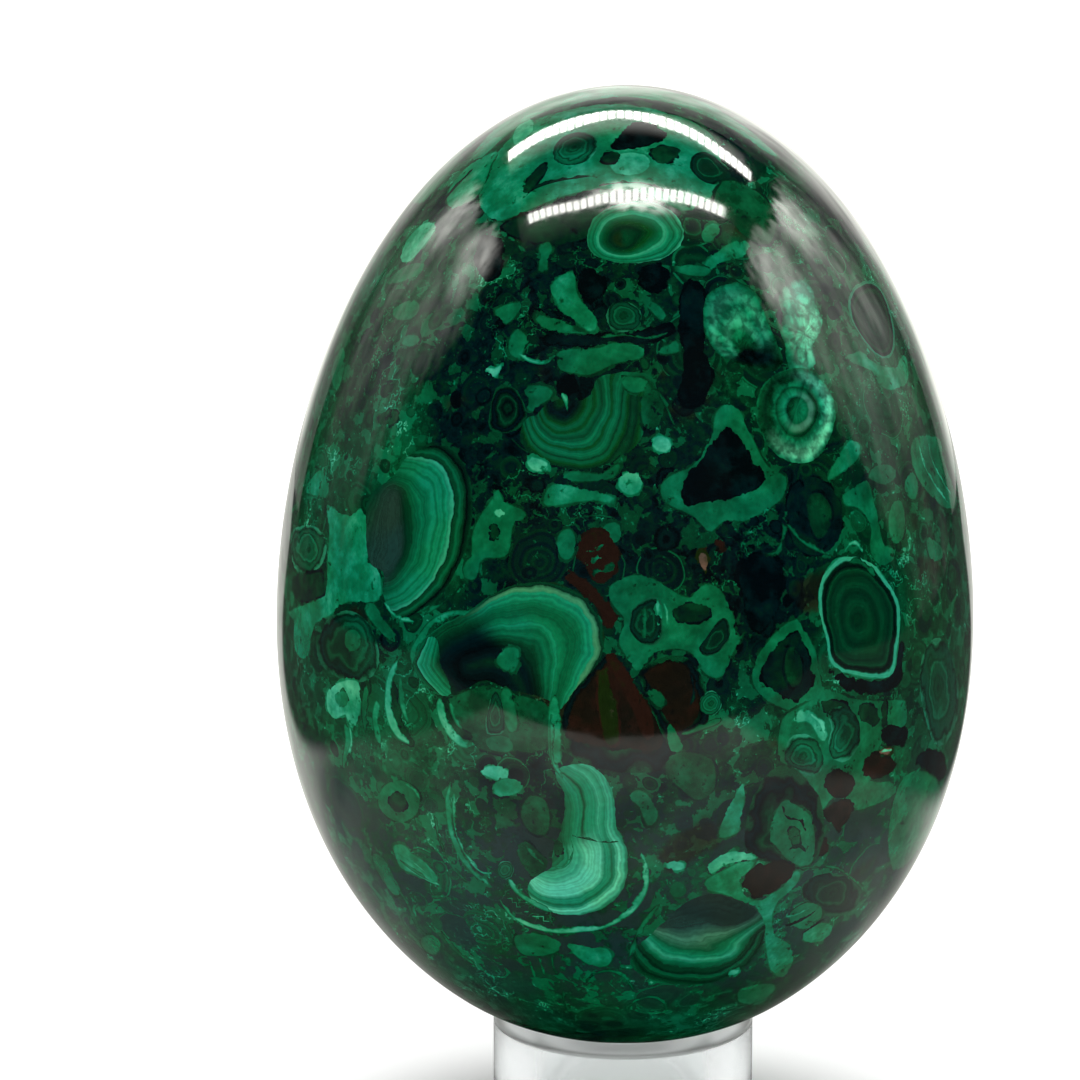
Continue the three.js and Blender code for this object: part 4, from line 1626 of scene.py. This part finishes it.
def wall_glow(foot_light, top_light, front_foot, front_lean, front_limit, pools):
    """A side wall: dim at the foot, bright near the lamps, open at the front along a leaning edge."""
    def glow(tree, place):
        height, depth = axis(tree, place, "Z"), axis(tree, place, "Y")
        light = steady(tree, height, 20, 210, foot_light, top_light)
        for centre, reach, strength in pools:
            light = maths(tree, "ADD", light, pool(tree, place, centre, reach, strength))
        front = maths(tree, "MULTIPLY_ADD", height, -front_lean, front_foot)
        front = maths(tree, "MAXIMUM", front, front_limit)
        drawn_out = vector_maths(tree, "MULTIPLY", place, (1, 1, 0.45))
        folds = noise(tree, drawn_out, 1 / 18, detail=4, roughness=0.6)
        blots = noise(tree, vector_maths(tree, "ADD", place, (0, 60, 20)), 1 / 42, detail=3)
        shift = steady(tree, folds, 0.3, 0.7, -16, 16)
        inside = steady(tree, maths(tree, "SUBTRACT", maths(tree, "ADD", depth, shift), front), -12, 45)
        top = maths(tree, "ADD", steady(tree, depth, 20, 70, WALL_TOP - 12, WALL_TOP - 45), shift)
        under = steady(tree, maths(tree, "SUBTRACT", top, height), -12, 12)
        deep = steady(tree, depth, 170, 260, 1.0, 0.3)
        light = maths(tree, "MULTIPLY", light, steady(tree, folds, 0.3, 0.7, 0.78, 1.27))
        light = maths(tree, "MULTIPLY", light, steady(tree, blots, 0.35, 0.65, 0.7, 1.3))
        light = maths(tree, "MULTIPLY", light, deep)
        return maths(tree, "MULTIPLY", light, maths(tree, "MULTIPLY", inside, under))
    return glow


def roof_glow(tree, place):
    light = pool(tree, place, (15, -52, ROOF), 125, 16, stretch=(1, 2.6, 1))
    streaks = noise(tree, vector_maths(tree, "MULTIPLY", place, (0.4, 1, 1)), 1 / 11, detail=4)
    light = maths(tree, "MULTIPLY", light, steady(tree, streaks, 0.42, 0.6))
    light = maths(tree, "ADD", light, pool(tree, place, (0, 235, ROOF), 420, 1.6, stretch=(1, 4, 1)))
    return maths(tree, "ADD", light, pool(tree, place, (0, -40, ROOF), 380, 0.5, stretch=(1, 4, 1)))


def paper_glow(tree, place):
    """White paper under the egg, dark in the egg's own shadow, with dim table beyond its sides."""
    across = maths(tree, "ABSOLUTE", maths(tree, "ADD", axis(tree, place, "X"), 12))
    depth = axis(tree, place, "Y")
    away = vector_maths(tree, "LENGTH", vector_maths(tree, "ADD", place, (0, 12, 0)), output="Value")
    smudges = steady(tree, noise(tree, place, 1 / 25, detail=4), 0.35, 0.65, 0.7, 1.3)
    light = maths(tree, "MULTIPLY", steady(tree, away, 8, 42), maths(tree, "MULTIPLY", smudges, 0.26))
    light = maths(tree, "ADD", light, steady(tree, depth, 8, 62, 0, 0.6))
    light = maths(tree, "ADD", light, steady(tree, depth, -60, -105, 0, 0.3))
    half = maths(tree, "ADD", steady(tree, depth, -20, 70, 88, 58), steady(tree, depth, 80, 260, 0, 95))
    beyond = maths(tree, "SUBTRACT", across, half)
    light = maths(tree, "MULTIPLY", light, steady(tree, beyond, 6, -6))
    light = maths(tree, "ADD", light, steady(tree, beyond, -6, 6, 0, 0.07))
    front = maths(tree, "MULTIPLY_ADD", across, 0.5, depth)
    return maths(tree, "MULTIPLY", light, steady(tree, front, PAPER_FRONT - 1, PAPER_FRONT + 1))


def back_glow(tree, place):
    across = axis(tree, vector_maths(tree, "SUBTRACT", place, (25, 0, 0)), "X")
    light = steady(tree, maths(tree, "ABSOLUTE", across), 235, 60, 0.22, 1.5)
    blots = steady(tree, noise(tree, place, 1 / 45, detail=3), 0.35, 0.65, 0.75, 1.25)
    light = maths(tree, "MULTIPLY", light, blots)
    return maths(tree, "MULTIPLY", light, steady(tree, axis(tree, place, "Z"), 310, 190, 0.3, 1.0))


left_pools = [((-SIDE, 5, 275), 75, 2.6), ((-SIDE, 155, 262), 85, 2.4)]
left_glow = wall_glow(0.05, 0.72, 60, 0.6, -58, left_pools)
right_pools = [((SIDE, -25, 272), 90, 2.6), ((SIDE, 130, 272), 80, 3.8)]
right_glow = wall_glow(0.13, 1.05, 40, 0.6, -85, right_pools)

tent = [
    stage_sheet("tent_floor", [
        (-SIDE, PAPER_FRONT - 5, -0.5), (SIDE, PAPER_FRONT - 5, -0.5),
        (SIDE, BACK, -0.5), (-SIDE, BACK, -0.5),
    ], glowing("tent_paper", paper_glow)),
    stage_sheet("tent_left", [
        (-SIDE, FRONT, 0), (-SIDE, BACK, 0), (-SIDE, BACK, WALL_TOP), (-SIDE, FRONT, WALL_TOP),
    ], glowing("tent_left_cloth", left_glow)),
    stage_sheet("tent_right", [
        (SIDE, FRONT, 0), (SIDE, BACK, 0), (SIDE, BACK, WALL_TOP), (SIDE, FRONT, WALL_TOP),
    ], glowing("tent_right_cloth", right_glow)),
    stage_sheet("tent_roof", [
        (-SIDE, FRONT, ROOF), (SIDE, FRONT, ROOF), (SIDE, BACK + 80, ROOF), (-SIDE, BACK + 80, ROOF),
    ], glowing("tent_roof_cloth", roof_glow)),
    stage_sheet("tent_back", [
        (-SIDE, BACK, 0), (SIDE, BACK, 0), (SIDE, BACK, ROOF - 40), (-SIDE, BACK, ROOF - 40),
    ], glowing("tent_back_cloth", back_glow)),
]

# %% [markdown]
# Each row is a strip of small lamps side by side. The pattern of lit squares is a wave along the
# strip, cut off sharply. A strip is extruded from the points of its middle line.

# %% The rows of lamps
LAMP_PITCH = 15.5
LAMP_GLOW = 22
ROW_LEVEL = ROOF - 4


def lamp_glow(tree, place):
    wave = maths(tree, "SINE", maths(tree, "MULTIPLY", axis(tree, place, "X"), 2 * math.pi / LAMP_PITCH))
    return steady(tree, wave, -0.85, -0.45, 3.0, LAMP_GLOW)


lamp_row = glowing("lamp_row", lamp_glow)


def lamp_strip(name, line):
    """A flat strip. Each point of the line gives its place across and deep, and the strip's width."""
    shape = bmesh.new()
    rungs = []
    for across, depth, width in line:
        rungs.append([
            shape.verts.new(Vector((across, depth + side * width / 2, ROW_LEVEL)) * MM) for side in (-1, 1)
        ])
    for first, second in zip(rungs, rungs[1:]):
        shape.faces.new([first[0], second[0], second[1], first[1]])
    return staged(name, shape, lamp_row)


tent += [
    lamp_strip("lamps_back", [
        (-246, 284, 80), (-168, 278, 82), (-104, 264, 92), (-15, 270, 66), (67, 240, 78), (122, 224, 64),
        (183, 202, 62), (266, 198, 50),
    ]),
    lamp_strip("lamps_front", [
        (-217, -24, 26), (-143, -46, 22), (-98, -56, 22), (0, -52, 26), (90, -34, 30), (134, -24, 30),
        (217, -4, 30),
    ]),
]
for piece in tent:
    only_in_reflections(piece)
print(len(tent), "tent pieces")

# %% The sky
SKY_LIGHT = 1.0
DARK_OPENING = 0.012

world = bpy.data.worlds.new("sky")
bpy.context.scene.world = world
world.use_nodes = True
sky = world.node_tree
path = node(sky, "ShaderNodeLightPath")
# Reflections that leave the tent through its open front see a dark room.
level = mixed(sky, mirror_ray(sky, path), SKY_LIGHT, DARK_OPENING, kind="FLOAT")
plug_in(sky, sky.nodes["Background"].inputs["Strength"], level)
sky.nodes["Background"].inputs["Color"].default_value = (1, 1, 1, 1)
